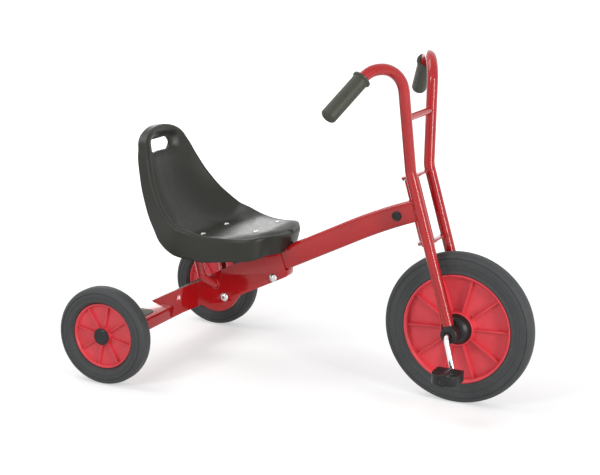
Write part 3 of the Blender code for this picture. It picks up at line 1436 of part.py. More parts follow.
def bowl_depth(distance, across):
    """How far the seat's back is sunk in the bowl that leads to the hand hole."""
    beside, above, below = SEAT_BOWL_BORDER
    along = distance - SEAT_HOLE_BELOW_TOP
    reach = SEAT_HOLE_HEIGHT / 2 + (above if along < 0 else below)
    ring = ((across / (SEAT_HOLE_LENGTH / 2 + beside)) ** 4 + (along / reach) ** 4) ** 0.25
    return SEAT_BOWL_DEPTH * smooth_step((1.0 - ring) / SEAT_BOWL_SLOPE)


def seat_shell():
    """The bucket: a dished sheet with a rolled rim and a deep skirt, given its wall."""
    shell = bmesh.new()
    grid = bmesh.ops.create_grid(shell, x_segments=SEAT_ROWS, y_segments=SEAT_COLUMNS, size=1.0)
    places = {}
    for vertex in grid["verts"]:
        u, v = vertex.co.x, vertex.co.y
        p = u * math.sqrt(1.0 - v * v / 2.0)
        q = v * math.sqrt(1.0 - u * u / 2.0)
        chord = math.sqrt(max(1e-9, 1.0 - p * p))
        distance = SEAT_END * (0.5 + 0.5 * p)
        share = max(-1.0, min(1.0, q / chord))
        places[vertex] = distance
        vertex.co = seat_point(distance, share if chord > 1e-3 else 0.0)
    rim = [edge for edge in shell.edges if edge.is_boundary]
    roll_and_skirt(shell, rim, places)
    bmesh.ops.recalc_face_normals(shell, faces=shell.faces)
    mesh = bpy.data.meshes.new("seat_shell")
    shell.to_mesh(mesh)
    shell.free()
    smooth(mesh, 60.0)
    seat = bpy.data.objects.new("seat_shell", mesh)
    seat.matrix_world = Matrix.Translation((REAR_X + SEAT_BOLT_X, 0.0, SEAT_BOLT_Z))
    link(seat, SEAT_PLASTIC)
    wall = seat.modifiers.new("wall", "SOLIDIFY")
    wall.thickness = SEAT_WALL
    wall.offset = -1.0
    wall.use_even_offset = False
    return seat


def roll_and_skirt(shell, rim, places):
    """Turns the open edge of the seat outwards in a round and down in a skirt."""
    start = {}
    for edge in rim:
        for vertex in edge.verts:
            start[vertex] = places[vertex]
    base = {vertex: vertex.co.copy() for vertex in start}
    outward = {vertex: edge_outward(base, start, vertex) for vertex in start}
    chain = {vertex: vertex for vertex in start}
    first_angle, roll = SEAT_ROLL_START, SEAT_ROLL
    steps = [(first_angle + (math.pi - first_angle) * index / SEAT_ROLL_STEPS, 0.0)
             for index in range(1, SEAT_ROLL_STEPS + 1)]
    steps += [(math.pi, index / SEAT_SKIRT_STEPS) for index in range(1, SEAT_SKIRT_STEPS + 1)]
    edges = rim
    for angle, depth in steps:
        made = bmesh.ops.extrude_edge_only(shell, edges=edges)["geom"]
        fresh = [item for item in made if isinstance(item, bmesh.types.BMVert)]
        edges = [item for item in made if isinstance(item, bmesh.types.BMEdge)
                 and item.is_boundary]
        paired = {}
        for vertex in fresh:
            origin = min(chain, key=lambda old: (old.co - vertex.co).length_squared)
            paired[vertex] = chain[origin]
        for vertex, first in paired.items():
            _, _, out = seat_frame(start[first])
            side = outward[first]
            drop = sample(SEAT_FORM, start[first], 3) * depth
            across = roll * (math.cos(first_angle) - math.cos(angle)) - drop * SEAT_SKIRT_TAPER
            lift = roll * (math.sin(angle) - math.sin(first_angle)) - drop
            vertex.co = base[first] + side * across + out * lift
        chain = paired


def edge_outward(base, start, vertex):
    """Level direction away from the seat at a point of its edge."""
    here, ahead, _ = seat_frame(start[vertex])
    half = seat_half_width(start[vertex])
    full = sample(SEAT_FORM, start[vertex], 1)
    lean = min(1.0, half / full)
    towards_end = -1.0 if start[vertex] < SEAT_END / 2 else 1.0
    sideways = math.copysign(lean, base[vertex].y) if abs(base[vertex].y) > 1e-6 else 0.0
    along = math.sqrt(max(0.0, 1.0 - sideways * sideways)) * towards_end
    return (Y_AXIS * sideways + ahead * along).normalized()


def hand_hole(seat):
    """A long round-ended opening near the top of the back."""
    here, ahead, out = seat_frame(SEAT_HOLE_BELOW_TOP)
    radius = SEAT_HOLE_HEIGHT / 2
    reach = SEAT_HOLE_LENGTH / 2 - radius
    outline = []
    for side in (1, -1):
        for index in range(9):
            angle = math.radians(-90.0 + 180.0 * index / 8)
            outline.append((side * (reach + radius * math.cos(angle)),
                            side * radius * math.sin(angle)))
    place = Vector((REAR_X + SEAT_BOLT_X, 0.0, SEAT_BOLT_Z)) + here
    matrix = Matrix.Translation(place) @ Matrix((Y_AXIS, -ahead, out)).transposed().to_4x4()
    cutter = plate("hand_hole", outline, 0.030, matrix=matrix, group=CUTTERS)
    boolean(seat, cutter)


def beam_notch(seat):
    """The skirt's front edge is notched where the beam passes under the seat."""
    half = BEAM_WIDTH / 2 + SEAT_NOTCH_GAP
    x = SEAT_BOLT_X + SEAT_SPINE[-1][0]
    top = beam_half_depth(x) + SEAT_NOTCH_GAP
    corner = SEAT_NOTCH_CORNER
    corners = [(-half, -top), (-half, top), (half, top), (half, -top)]
    outline = rounded_outline(corners, [corner, corner, 0.0, 0.0])
    place = Vector((REAR_X + x, 0.0, beam_height(x)))
    matrix = facing((math.cos(BEAM_SLOPE), 0.0, math.sin(BEAM_SLOPE)), place)
    level = matrix.to_3x3().inverted() @ Y_AXIS
    matrix = matrix @ Matrix.Rotation(math.atan2(level.y, level.x), 4, "Z")
    notch = plate("beam_notch", outline, BEAM_DEPTH, matrix=matrix, group=CUTTERS)
    boolean(seat, notch)


def seat_screws(seat, rails):
    """Four dome-headed screws through the pan into the rails."""
    lean = Vector((-math.sin(SEAT_PAN_SLOPE), 0.0, math.cos(SEAT_PAN_SLOPE)))
    for row, along in (("rear", 0.0), ("front", SEAT_BOLT_PITCH)):
        for side, name in SIDES:
            x = SEAT_BOLT_X + along
            top = Vector((REAR_X + x, side * SEAT_BOLT_HALF_SPACING, pan_height(x)))
            head, tall = SEAT_SCREW_HEAD_RADIUS, SEAT_SCREW_HEAD_HEIGHT
            under = GAP - SEAT_SCREW_SINK
            profile = [
                (0.0, under + tall),
                (head * 0.5, under + tall * 0.9),
                (head * 0.85, under + tall * 0.5),
                (head, under),
                (SEAT_SCREW_RADIUS, under),
                (SEAT_SCREW_RADIUS, under - SEAT_SCREW_LENGTH),
                (0.0, under - SEAT_SCREW_LENGTH),
            ]
            turned(f"{row}_seat_screw_{name}", profile, ZINC_STEEL, lean, top,
                   ring=False, steps=16)
            hole = rod(f"{row}_screw_hole_{name}", SEAT_SCREW_RADIUS + GAP,
                       top - lean * (SEAT_SCREW_LENGTH + 0.004), top + lean * 0.02,
                       group=CUTTERS, sides=16)
            recess = rod(f"{row}_screw_recess_{name}", head + SEAT_SCREW_RECESS,
                         top - lean * SEAT_SCREW_SINK, top + lean * 0.02, group=CUTTERS,
                         sides=16)
            boolean(seat, hole)
            boolean(seat, recess)
            boolean(rails[side], hole)


def seat_supports():
    """Two bent tubes from the channel up and forward under the pan, and a cross bar."""
    drop = (SEAT_WALL + SUPPORT_GAP + SUPPORT_RADIUS) / math.cos(SEAT_PAN_SLOPE)

    def rail(x):
        return pan_height(x) - drop

    front = SEAT_BOLT_X + SUPPORT_FRONT
    ahead = Vector((REAR_X, 0.0, 0.0))
    wall = box("channel_side_space", (0.2, 2 * (CHANNEL_OUTER + GAP), 0.2),
               Matrix.Translation((REAR_X + SUPPORT_FOOT[0], 0.0, SUPPORT_FOOT[2])),
               group=CUTTERS)
    rails = {}
    for side, name in SIDES:
        out = side * SEAT_BOLT_HALF_SPACING
        points = [
            ahead + sided(SUPPORT_FOOT, side),
            ahead + sided(SUPPORT_ELBOW, side),
            (REAR_X + SUPPORT_CORNER_X, out, rail(SUPPORT_CORNER_X)),
            (REAR_X + front, out, rail(front)),
        ]
        path = rounded_path(points, [SUPPORT_LOW_BEND, SUPPORT_BEND])
        rails[side] = hollow_tube(f"seat_support_{name}", path, SUPPORT_RADIUS, RED_PAINT)
        boolean(rails[side], wall)
    seat_crossbar(rail, drop)
    return rails


def seat_crossbar(rail, drop):
    """A flat bar under both rails, on a post that stands on the beam."""
    x = SEAT_BOLT_X + SEAT_BOLT_PITCH
    below = (SUPPORT_RADIUS + GAP + CROSSBAR_THICKNESS / 2) / math.cos(SEAT_PAN_SLOPE)
    tilt = Matrix.Rotation(-SEAT_PAN_SLOPE, 4, "Y")
    span = 2 * (SEAT_BOLT_HALF_SPACING + CROSSBAR_OVERHANG)
    centre = Vector((REAR_X + x, 0.0, rail(x) - below))
    bar = box("seat_crossbar", (CROSSBAR_WIDTH, span, CROSSBAR_THICKNESS),
              Matrix.Translation(centre) @ tilt, RED_PAINT)
    beam_top = beam_height(x) + beam_half_depth(x)
    post_low = beam_top - POST_TRIM
    post = box("crossbar_post", (POST_LENGTH, BEAM_WIDTH - 2 * BEAM_CORNER, centre.z - post_low),
               Matrix.Translation((REAR_X + x, 0.0, (centre.z + post_low) / 2)), group=CUTTERS)
    boolean(bar, post, "UNION")
    lean = Matrix.Rotation(-BEAM_SLOPE, 4, "Y")
    block = (4 * POST_TRIM, 2 * BEAM_WIDTH, 3 * POST_TRIM)
    normal = Vector((-math.sin(BEAM_SLOPE), 0.0, math.cos(BEAM_SLOPE)))
    face = Vector((REAR_X + x, 0.0, beam_top)) + normal * (GAP - block[2] / 2)
    trim = box("post_foot_trim", block, Matrix.Translation(face) @ lean, group=CUTTERS)
    boolean(bar, trim)
    for side, name in SIDES:
        lean_up = Vector((-math.sin(SEAT_PAN_SLOPE), 0.0, math.cos(SEAT_PAN_SLOPE)))
        top = Vector((REAR_X + x, side * SEAT_BOLT_HALF_SPACING, pan_height(x)))
        hole = rod(f"crossbar_hole_{name}", SEAT_SCREW_RADIUS + GAP, top - lean_up * 0.06,
                   top, group=CUTTERS, sides=16)
        boolean(bar, hole)


def build():
    head()
    steering()
    front_wheel()
    for side, name in SIDES:
        pedal(side, name)
        rear_wheel(side, name)
    frame_beam()
    beam_keel()
    rear_channel()
    step_plate()
    gussets()
    rear_axle()
    rails = seat_supports()
    seat = seat_shell()
    hand_hole(seat)
    beam_notch(seat)
    seat_screws(seat, rails)


build()
bpy.context.view_layer.update()
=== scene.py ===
import json
import math

import bmesh
import bpy
from mathutils import Matrix, Vector

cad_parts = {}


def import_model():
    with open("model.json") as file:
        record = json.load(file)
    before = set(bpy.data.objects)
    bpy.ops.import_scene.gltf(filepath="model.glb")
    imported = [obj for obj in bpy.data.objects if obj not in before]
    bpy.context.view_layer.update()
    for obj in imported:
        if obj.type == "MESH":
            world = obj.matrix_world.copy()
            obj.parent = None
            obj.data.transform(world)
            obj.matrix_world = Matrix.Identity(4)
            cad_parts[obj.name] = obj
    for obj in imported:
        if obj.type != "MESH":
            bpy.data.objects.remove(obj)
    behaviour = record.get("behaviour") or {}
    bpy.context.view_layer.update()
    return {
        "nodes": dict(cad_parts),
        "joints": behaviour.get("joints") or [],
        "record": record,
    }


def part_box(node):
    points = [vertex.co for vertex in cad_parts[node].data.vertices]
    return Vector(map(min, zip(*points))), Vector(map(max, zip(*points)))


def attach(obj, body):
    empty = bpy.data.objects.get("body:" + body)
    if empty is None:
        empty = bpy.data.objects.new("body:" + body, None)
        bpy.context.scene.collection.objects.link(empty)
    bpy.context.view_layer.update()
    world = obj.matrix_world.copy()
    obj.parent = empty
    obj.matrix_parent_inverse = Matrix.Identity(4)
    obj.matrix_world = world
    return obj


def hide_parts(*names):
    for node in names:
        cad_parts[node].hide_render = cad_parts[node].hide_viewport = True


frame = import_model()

# Fits and general sizes, in metres
GAP = 0.0003
MERGE = 0.000002
TINY = 1e-6
ROUND = 48
WHEEL_ROUND = 160
TUBE_ROUND = 40
SHARP = 32.0
FLAT = 0.6
CARRIED_SHARP = 50.0
TUBE_END_ANGLE = 60.0
ROD_EDGE = 0.0008
NUT_CHAMFER = 0.0009
SMALL_CORNER = 0.0006
HEAD_CORNER = 0.0007
CAP_CORNER = 0.0007
WELD_ROUND = 8
# A weld's bead: its steps as a share of its radius, and (height, pace) of its ripples
WELD_BEAT = 0.55
WELD_RIPPLES = ((0.10, 2.1), (0.05, 0.7))
YOKE_WELD, BRACE_WELD, FOOT_WELD, BEAM_WELD = 0.0013, 0.0015, 0.0016, 0.0017
# Heads, from the middle outwards: (share of the radius, share of the height)
PIN_DOME = ((0.0, 1.0), (0.45, 1.0), (0.80, 0.72), (0.97, 0.30), (1.0, 0.0))
BOLT_DOME = ((0.0, 1.0), (0.40, 0.92), (0.72, 0.64), (0.88, 0.34), (1.0, 0.22), (1.0, 0.0))
SCREW_DOME = ((0.0, 0.55), (0.20, 0.55), (0.30, 1.0), (0.62, 0.86), (0.92, 0.40), (1.0, 0.0))
REAR_CAP_DOME = ((0.0, 5 / 6), (0.46, 5 / 6), (0.52, 1.0), (0.80, 1.0), (1.0, 0.5), (1.0, 0.0))
BEAM_PLUG_DOME = ((0.0, 0.80), (0.25, 0.74), (0.44, 0.50), (0.52, 1.0), (0.80, 1.0), (1.0, 0.4),
                  (1.0, 0.0))
# Ends of a share, and the range that most of a noise lies in
FULL = (0.0, 1.0)
NOISE_ENDS = (0.3, 0.7)

# Wheels
FRONT_TYRE_RADIUS = 0.185
FRONT_TYRE_WIDTH = 0.046
FRONT_RIM_RADIUS = 0.1337
FRONT_RIM_WIDTH = 0.043
FRONT_RIBS = 10
REAR_TYRE_RADIUS = 0.122
REAR_TYRE_WIDTH = 0.048
REAR_RIM_RADIUS = 0.0815
REAR_RIM_WIDTH = 0.025
REAR_RIBS = 8
LIP_WALL = 0.0040
LIP_DROP = 0.0030
# A rim's rounded edge: (out from the lip, drop from the rim's side)
LIP_EDGE = ((-0.0002, 0.0003), (0.0008, 0.0))
FRONT_LIP_FOOT = (0.0054, 0.0030)
REAR_LIP_FOOT = (0.0035, 0.0020)
FRONT_RIM_CORNER = 0.0011
REAR_RIM_CORNER = 0.0010
# Tyres: the bead as (up, out) from the rim's edge, the side wall as (share of its height,
# drop from the side), the shoulder as (below the tread, drop from the side)
TYRE_BEAD = ((0.0, -0.004), (0.0015, 0.0012))
TYRE_WALL = ((0.16, 0.0022), (0.34, 0.0004), (0.40, 0.0002), (0.41, 0.0009), (0.43, 0.0009),
             (0.44, 0.0))
TYRE_SHOULDER = ((0.0150, 0.0), (0.0140, 0.0022), (0.0122, 0.0024), (0.0112, 0.0006),
                 (0.0040, 0.0050), (0.0010, 0.0105), (0.0, 0.0150))
TYRE_CORNER = 0.0018
TYRE_SHARP = 50.0
WEB_THICKNESS = 0.006
RIB_THICKNESS = 0.0045
RIB_DROP = 0.0045
RIB_END = 0.0055
RIB_CREST = 0.62
RIB_EDGE = 0.0006
RIB_SHARP = 40.0
FRONT_RIB_TURN = math.radians(3.0)
REAR_RIB_TURN = math.radians(34.0)
TRACK = 0.577

# Front hub, crank and pedals
AXLE_RADIUS = 0.0065
CRANK_LENGTH = 0.083
CRANK_TILT = math.radians(15.0)
CRANK_PLANE = 0.095
CRANK_BEND = 0.012
CRANK_PIN_SHORT = 0.0036
HUB_COVER_RADIUS = 0.0370
HUB_COVER_FACE = 0.0425
HUB_COVER_BOSS = 0.010
HUB_COVER_DISH = 0.0002
HUB_COVER_WALL = 0.003
HUB_COVER_CORNER = 0.0040
# The cover's dome, from the bore outwards: (share of its radius, drop from its face)
HUB_COVER_DOME = ((0.42, 0.0010), (0.68, 0.0045), (0.87, 0.0110), (0.97, 0.0190), (1.0, 0.0250))
HUB_RING_WALL = 0.0045
HUB_RING_HALF = 0.0200
HUB_RING_TAPER = 0.0006
HUB_FLOOR_HALF = 0.0120
HOUSING_RADIUS = 0.0205
HOUSING_INNER = 0.0435
HOUSING_OUTER = 0.0800
HOUSING_LIP = 0.0040
HOUSING_MOUTH = 0.0125
# The housing's ring round the rod: (out from its mouth, drop from its outer end)
HOUSING_RING = ((-0.0030, 0.0020), (-0.0020, 0.0), (0.0, 0.0), (0.0008, 0.0015))
HOUSING_SINK = 0.0020
HOUSING_SLOPE = 0.0025
HOUSING_CHAMFER = 0.0015
HOUSING_CORNER = 0.0009
HOUSING_COLLAR_START = 0.0110
PEDAL_LENGTH = 0.066
PEDAL_WIDTH = 0.064
PEDAL_THICKNESS = 0.025
PEDAL_START = 0.1080
PEDAL_CORNER = 0.024
PEDAL_INNER_CORNER = 0.006
PEDAL_EDGE = 0.0009
PEDAL_TOP = 0.0002
PEDAL_POCKET = 0.0080
PEDAL_BOSS_BACK = 0.0010
PEDAL_BOSS_CORNER = 0.0012
PEDAL_BOSS_RADIUS = 0.0150
PEDAL_GROOVES = 3
PEDAL_GROOVE_PITCH = 0.0125
PEDAL_GROOVE_WIDTH = 0.0065
PEDAL_GROOVE_DEPTH = 0.0080
PEDAL_GROOVE_INNER = 0.0100
PEDAL_GROOVE_OUTER = 0.0290
PEDAL_PLUG_RADIUS = 0.0110
PEDAL_PLUG_PROUD = 0.0015
PEDAL_PLUG_DEPTH = 0.0030
# The plug's face, from its middle: (share of its radius, drop)
PEDAL_PLUG_FACE = ((0.0, 0.0010), (0.55, 0.0010), (0.62, 0.0), (1.0, 0.0))

# Steering
AXIS_BEHIND_BLADES = 0.027
STEER_TUBE_RADIUS = 0.01343
BLADE_HALF_GAP = 0.0612
BLADE_START = 0.0216
LOWER_YOKE_AT = 0.2176
UPPER_YOKE_AT = 0.3787
YOKE_THICKNESS = 0.005
YOKE_EDGE = 0.0007
YOKE_WELD_ANGLE = math.radians(66.0)
YOKE_WELD_STEPS = 16
KINK_AT = 0.3918
KINK_BEND = 0.060
GRIP_DIRECTION = (-0.384, 0.683, -0.670)
BEND_START = (-0.0115, 0.0320, 0.1905)
BEND_TOP = (-0.0445, 0.0975, 0.2475)
GRIP_START = (-0.0700, 0.1410, 0.2300)
BEND_STEPS = 18
GRIP_BEND_STEPS = 14
BEND_FULLNESS = 1.12
GRIP_LENGTH = 0.1280
GRIP_RADIUS = 0.0190
GRIP_FLANGE_RADIUS = 0.0225
GRIP_FLANGE_WIDTH = 0.006
GRIP_FLANGE_FADE = 0.004
# The grip's outline up to its body, as (radius, length) steps: its mouth past the bore, its
# flange's front and back inside the flange's edge, and the flange's foot past the body
GRIP_MOUTH = ((0.0, 0.0012), (0.0006, 0.0))
GRIP_FLANGE_FRONT = ((0.0016, 0.0), (0.0004, 0.0006), (0.0, 0.0018))
GRIP_FLANGE_BACK = ((0.0, 0.0014), (0.0006, 0.0004))
GRIP_FLANGE_FOOT = ((0.0010, 0.0006), (0.0, 0.0024))
GRIP_ROWS = 24
GRIP_END_ROWS = 8
GRIP_SHARP = 60.0
GRIP_END_WALL = 0.010
GRIP_FLUTES = 14
GRIP_FLUTE_DEPTH = 0.0005
GRIP_FLUTE_FADE = 0.008
BRACE_RADIUS = 0.008
BRACE_RISE = 0.1285
BRACE_END_SHARE = 0.9
HEAD_RADIUS = 0.018
HEAD_WALL = 0.003
HEAD_ROUND = 64
BUSH_FLANGE = 0.003
BUSH_BORE = 0.0078
RUN = 0.0004
PIN_HEAD_RADIUS = 0.0115
PIN_HEAD_HEIGHT = 0.007
PIN_RADIUS = 0.0070
PIN_END = 0.002
PIN_CHAMFER = 0.001
PIN_CORNER = 0.0012
WASHER_RADIUS = 0.0235
WASHER_THICKNESS = 0.003
WASHER_BORE = 0.0073
WASHER_CORNER = 0.0005
NUT_HEIGHT = 0.008
NUT_SINK = 0.0005
STEER_NUT_FLATS = 0.020

# Main beam, from the rear axle forwards
BEAM_DEPTH = 0.056
BEAM_HEAD_DEPTH = 0.050
BEAM_WIDTH = 0.034
BEAM_WALL = 0.0025
BEAM_CORNER = 0.009
BEAM_REAR = 0.140
BEAM_REAR_HEIGHT = 0.1905
BEAM_BELOW_HEAD_MIDDLE = 0.0019
BEAM_HEAD_SLOPE = math.radians(19.0)
BEAM_BEND_LENGTH = 0.1687
BEAM_STEPS = 16
BEAM_SHORT_OF_HEAD = 0.005
BEAM_WELD_SHARE = 1.02
BEAM_PLUG_BEHIND_HEAD = 0.0497
BEAM_PLUG_RADIUS = 0.012
BEAM_PLUG_HEIGHT = 0.003
BEAM_PLUG_STEM = 0.0050
BEAM_PLUG_DEPTH = 0.0090
CHANNEL_WALL = 0.003
CHANNEL_EDGE = 0.0008
GUSSET_EDGE = 0.0004
LOBE_AT = 0.1875
FRONT_BOLT_AT = 0.3250
BOLT_BELOW_BEAM = 0.0062
BOLT_RADIUS = 0.004
BOLT_HEAD_RADIUS = 0.0108
BOLT_HEAD_HEIGHT = 0.0055
BOLT_END = 0.0020
BOLT_CORNER = 0.0010
BOLT_NUT_FLATS = 0.0150
BOLT_NUT_HEIGHT = 0.006

# Rear step plate and axle
PLATE_ABOVE_AXLE = 0.015
PLATE_EDGE = 0.0006
PLATE_TOP = REAR_TYRE_RADIUS + PLATE_ABOVE_AXLE
PAD_FRONT = 0.029
PAD_REAR = -0.024
PAD_INNER = 0.095
PAD_OUTER = 0.236
PAD_CORNER = 0.018
PAD_THICKNESS = 0.0015
PAD_EDGE = 0.0004
STUD_ROWS = 5
STUD_COLUMNS = 12
STUD_PITCH = 0.0095
STUD_ROUND = 16
# A stud's side: (radius, height above the pad)
STUD_LINE = ((0.0, 0.0007), (0.0016, 0.0007), (0.0024, 0.0003), (0.0026, -0.0004),
             (0.0, -0.0004))
AXLE_TUBE_BORE = 0.0063
HUB_FACE = 0.0150
HUB_INNER_REACH = 0.0240
HUB_BOSS_RADIUS = 0.0185
HUB_BOSS_FOOT = 0.0015
HUB_BOSS_TAPER = 0.0020
HUB_POCKET_FLOOR = 0.0062
HUB_POCKET_RADIUS = 0.0134
REAR_BUSH_RADIUS = 0.0095
REAR_CAP_RADIUS = 0.0210
REAR_CAP_THICKNESS = 0.0060
REAR_CAP_SPIGOT = 0.0065

# Seat and its supports
SEAT_BOLT_X = 0.147
SEAT_BOLT_Z = 0.3478
SEAT_BOLT_PITCH = 0.150
SEAT_BOLT_HALF_SPACING = 0.0625
SEAT_PAN_SLOPE = math.radians(8.8)
SEAT_WALL = 0.0040
SEAT_ROLL = 0.0080
SEAT_ROLL_START = math.radians(70.0)
SEAT_SKIRT_TAPER = 0.12
SEAT_BACK_FLAT_SHARE = 0.08
SEAT_FLAT_SHARE = 0.55
SEAT_PAN_RANGE = (0.200, 0.330)
SEAT_ROWS = 120
SEAT_COLUMNS = 84
SEAT_SMOOTHING = 4
ROLL_STEPS = 10
SKIRT_STEPS = 14
# The hollows at the front skirt's corners: how far out, how deep and how wide to each side
SEAT_DENT_AT = 0.078
SEAT_DENT_DEPTH = 0.006
SEAT_DENT_REACH = 0.034
# Shares of the seat's length in front of its screws where the hollows and the notch start
SEAT_DENT_FROM = 0.8
SEAT_NOTCH_FROM = 0.9
SEAT_HOLE_LENGTH = 0.104
SEAT_HOLE_RADIUS = 0.018
SEAT_HOLE_REACH = SEAT_HOLE_LENGTH / 2 - SEAT_HOLE_RADIUS
SEAT_HOLE_BELOW_TOP = 0.0400
# The hole's lip: its round, the share of its sideways lean and its drops past the round
HOLE_LIP_RADIUS = 0.0030
HOLE_LIP_LEAN = 0.5
HOLE_LIP_STEPS = 6
HOLE_LIP_DROPS = (0.0025, 0.0050, 0.0075)
# The bowl round the hand hole: its depth, how far it reaches past the hole at the sides,
# above and below, and the share of that at which its floor is reached
SEAT_BOWL_DEPTH = 0.011
SEAT_BOWL_BORDER = (0.022, 0.016, 0.007)
SEAT_BOWL_SLOPE = 0.40
SEAT_NORMAL_REACH = 0.022
SEAT_TOP_ROUND = (0.036, 2.5)
SEAT_FRONT_ROUND = (0.078, 2.3)
SEAT_NOTCH_GAP = 0.0010
SEAT_NOTCH_CORNER = 0.006
SEAT_SCREW_HEAD_RADIUS = 0.0085
SEAT_SCREW_HEAD_HEIGHT = 0.0035
SEAT_SCREW_SINK = 0.0008
SCREW_RADIUS = 0.003
SCREW_LENGTH = 0.034
# Middle line of the seat from the top of the back to the front lip: (forward, up)
SEAT_SPINE = (
    (-0.1535, 0.2440),
    (-0.1545, 0.2280),
    (-0.1530, 0.2060),
    (-0.1460, 0.1520),
    (-0.1310, 0.1020),
    (-0.1020, 0.0540),
    (-0.0620, 0.0160),
    (-0.0420, 0.0045),
    (-0.0240, -0.0014),
    (-0.0100, -0.0015),
    (0.0080, 0.0012),
    (0.0300, 0.0046),
    (0.0750, 0.0116),
    (0.1600, 0.0248),
    (0.1850, 0.0275),
    (0.2150, 0.0240),
)
# Along that line: (distance from the top, half width, rim above the middle, skirt depth)
SEAT_FORM = (
    (0.000, 0.0830, 0.0000, 0.018),
    (0.008, 0.0830, 0.0070, 0.020),
    (0.033, 0.0885, 0.0170, 0.023),
    (0.056, 0.0997, 0.0235, 0.026),
    (0.108, 0.1183, 0.0350, 0.029),
    (0.166, 0.1363, 0.0420, 0.034),
    (0.230, 0.1535, 0.0432, 0.045),
    (0.267, 0.1603, 0.0425, 0.058),
    (0.305, 0.1622, 0.0380, 0.067),
    (0.340, 0.1585, 0.0262, 0.066),
    (0.363, 0.1535, 0.0155, 0.062),
    (0.385, 0.1463, 0.0072, 0.056),
    (0.429, 0.1276, -0.0026, 0.050),
    (0.475, 0.1180, -0.0078, 0.047),
    (0.540, 0.1150, -0.0040, 0.040),
)
SUPPORT_RADIUS = 0.011
SUPPORT_BEND = 0.018
SUPPORT_LOW_BEND = 0.025
SUPPORT_FOOT = (0.164, 0.0093, 0.2013)
SUPPORT_ELBOW = (0.1425, 0.0570, 0.2360)
SUPPORT_CORNER_X = 0.122
SUPPORT_FRONT = 0.168
SUPPORT_GAP = 0.0005
SUPPORT_SINK = 0.004

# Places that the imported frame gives
JOINTS = {joint["name"]: joint for joint in frame["joints"]}
FRONT_AXLE = Vector(JOINTS["front_wheel_spin"]["pos_m"])
REAR_AXLE = Vector(JOINTS["left_rear_wheel_spin"]["pos_m"])
REAR_AXLE.y = 0.0
REAR_X = REAR_AXLE.x
STEER_UP = Vector(JOINTS["steer"]["axis"]).normalized()
STEER_BACK = Vector((-STEER_UP.z, 0.0, STEER_UP.x))
CHANNEL_OUTER = BEAM_WIDTH / 2 + GAP + CHANNEL_WALL
PAN_RISE = math.tan(SEAT_PAN_SLOPE)
Y_AXIS = Vector((0.0, 1.0, 0.0))
SIDES = ((-1, "right"), (1, "left"))


# Shader tools
class Value:
    """A node's output, on which Python's signs add Math nodes."""

    def __init__(self, owner, socket):
        self.owner = owner
        self.socket = socket

    def math(self, kind, *values):
        return self.owner.node("ShaderNodeMath", {"operation": kind}, dict(enumerate(values)))

    def __add__(self, other):
        return self.math("ADD", self, other)

    def __mul__(self, other):
        return self.math("MULTIPLY", self, other)

    __radd__ = __add__
    __rmul__ = __mul__

    def largest(self, other):
        return self.math("MAXIMUM", self, other)


class Nodes:
    """A node tree in which one call makes a node, sets and feeds it, and gives its output."""

    def __init__(self, tree):
        self.tree = tree

    def node(self, kind, settings, values, output=0):
        made = self.tree.nodes.new(kind)
        for name, setting in settings.items():
            setattr(made, name, setting)
        for key, value in values.items():
            if isinstance(value, Value):
                self.tree.links.new(value.socket, made.inputs[key])
            else:
                made.inputs[key].default_value = value
        return Value(self, made.outputs[output])

    def coordinates(self):
        return self.node("ShaderNodeTexCoord", {}, {}, "Object")

    def spread(self, value, low, high, to_low=0.0, to_high=1.0, kind="LINEAR"):
        return self.node("ShaderNodeMapRange", {"interpolation_type": kind},
                         {"Value": value, "From Min": low, "From Max": high,
                          "To Min": to_low, "To Max": to_high})

    def seen(self):
        """1 for what the camera or a reflection sees directly, and 0 for all other light."""
        camera_ray = self.node("ShaderNodeLightPath", {}, {}, "Is Camera Ray")
        return camera_ray.largest(self.node("ShaderNodeLightPath", {}, {}, "Is Glossy Ray"))


class Finish(Nodes):
    """A material: a Principled surface and the nodes that vary it over the object."""

    def __init__(self, name, **constants):
        self.material = bpy.data.materials.new(name)
        self.material.use_nodes = True
        super().__init__(self.material.node_tree)
        self.shader = self.tree.nodes["Principled BSDF"]
        for socket, value in constants.items():
            self.shader.inputs[socket.replace("_", " ")].default_value = value
        self.place = self.coordinates()

    def noise(self, scale, detail=2.0, roughness=0.5, stretch=None):
        where = self.place
        if stretch:
            where = self.node("ShaderNodeMapping", {}, {"Vector": where, "Scale": stretch})
        return self.node("ShaderNodeTexNoise", {},
                         {"Vector": where, "Scale": scale, "Detail": detail,
                          "Roughness": roughness})

    def cells(self, scale):
        return self.node("ShaderNodeTexVoronoi", {}, {"Vector": self.place, "Scale": scale})

    def mixed(self, share, one, two):
        """A colour between two colours; a constant colour is a triple."""
        ends = [end if isinstance(end, Value) else (*end, 1.0) for end in (one, two)]
        return self.node("ShaderNodeMix", {"data_type": "RGBA"},
                         {0: share, 6: ends[0], 7: ends[1]}, 2)

    def feed(self, socket, value):
        self.tree.links.new(value.socket, self.shader.inputs[socket])

    def colour(self, share, one, two):
        self.feed("Base Color", self.mixed(share, one, two))

    def rough(self, share, least, most, ends=FULL):
        """Roughness from least to most, as a share or a noise runs between its ends."""
        self.feed("Roughness", self.spread(share, *ends, least, most))

    def relief(self, height, distance, strength=1.0):
        self.feed("Normal", self.node("ShaderNodeBump", {}, {
            "Height": height, "Distance": distance, "Strength": strength}, "Normal"))


# Materials
def red_paint():
    """Glossy powder coat: a fine orange peel and slightly deeper colour in patches."""
    made = Finish("red_paint", Coat_Weight=0.65, Coat_Roughness=0.07, IOR=1.25)
    patches = made.noise(9.0, 3.0)
    fine = made.noise(260.0, 2.0)
    shade = made.spread(patches * 0.75 + fine * 0.25, 0.36, 0.64)
    made.colour(shade, (0.370, 0.0050, 0.0070), (0.440, 0.0080, 0.0100))
    made.rough(made.noise(34.0, 3.0), 0.22, 0.30, NOISE_ENDS)
    made.relief(made.noise(480.0, 2.0, 0.55), 0.00005, 0.35)
    return made.material


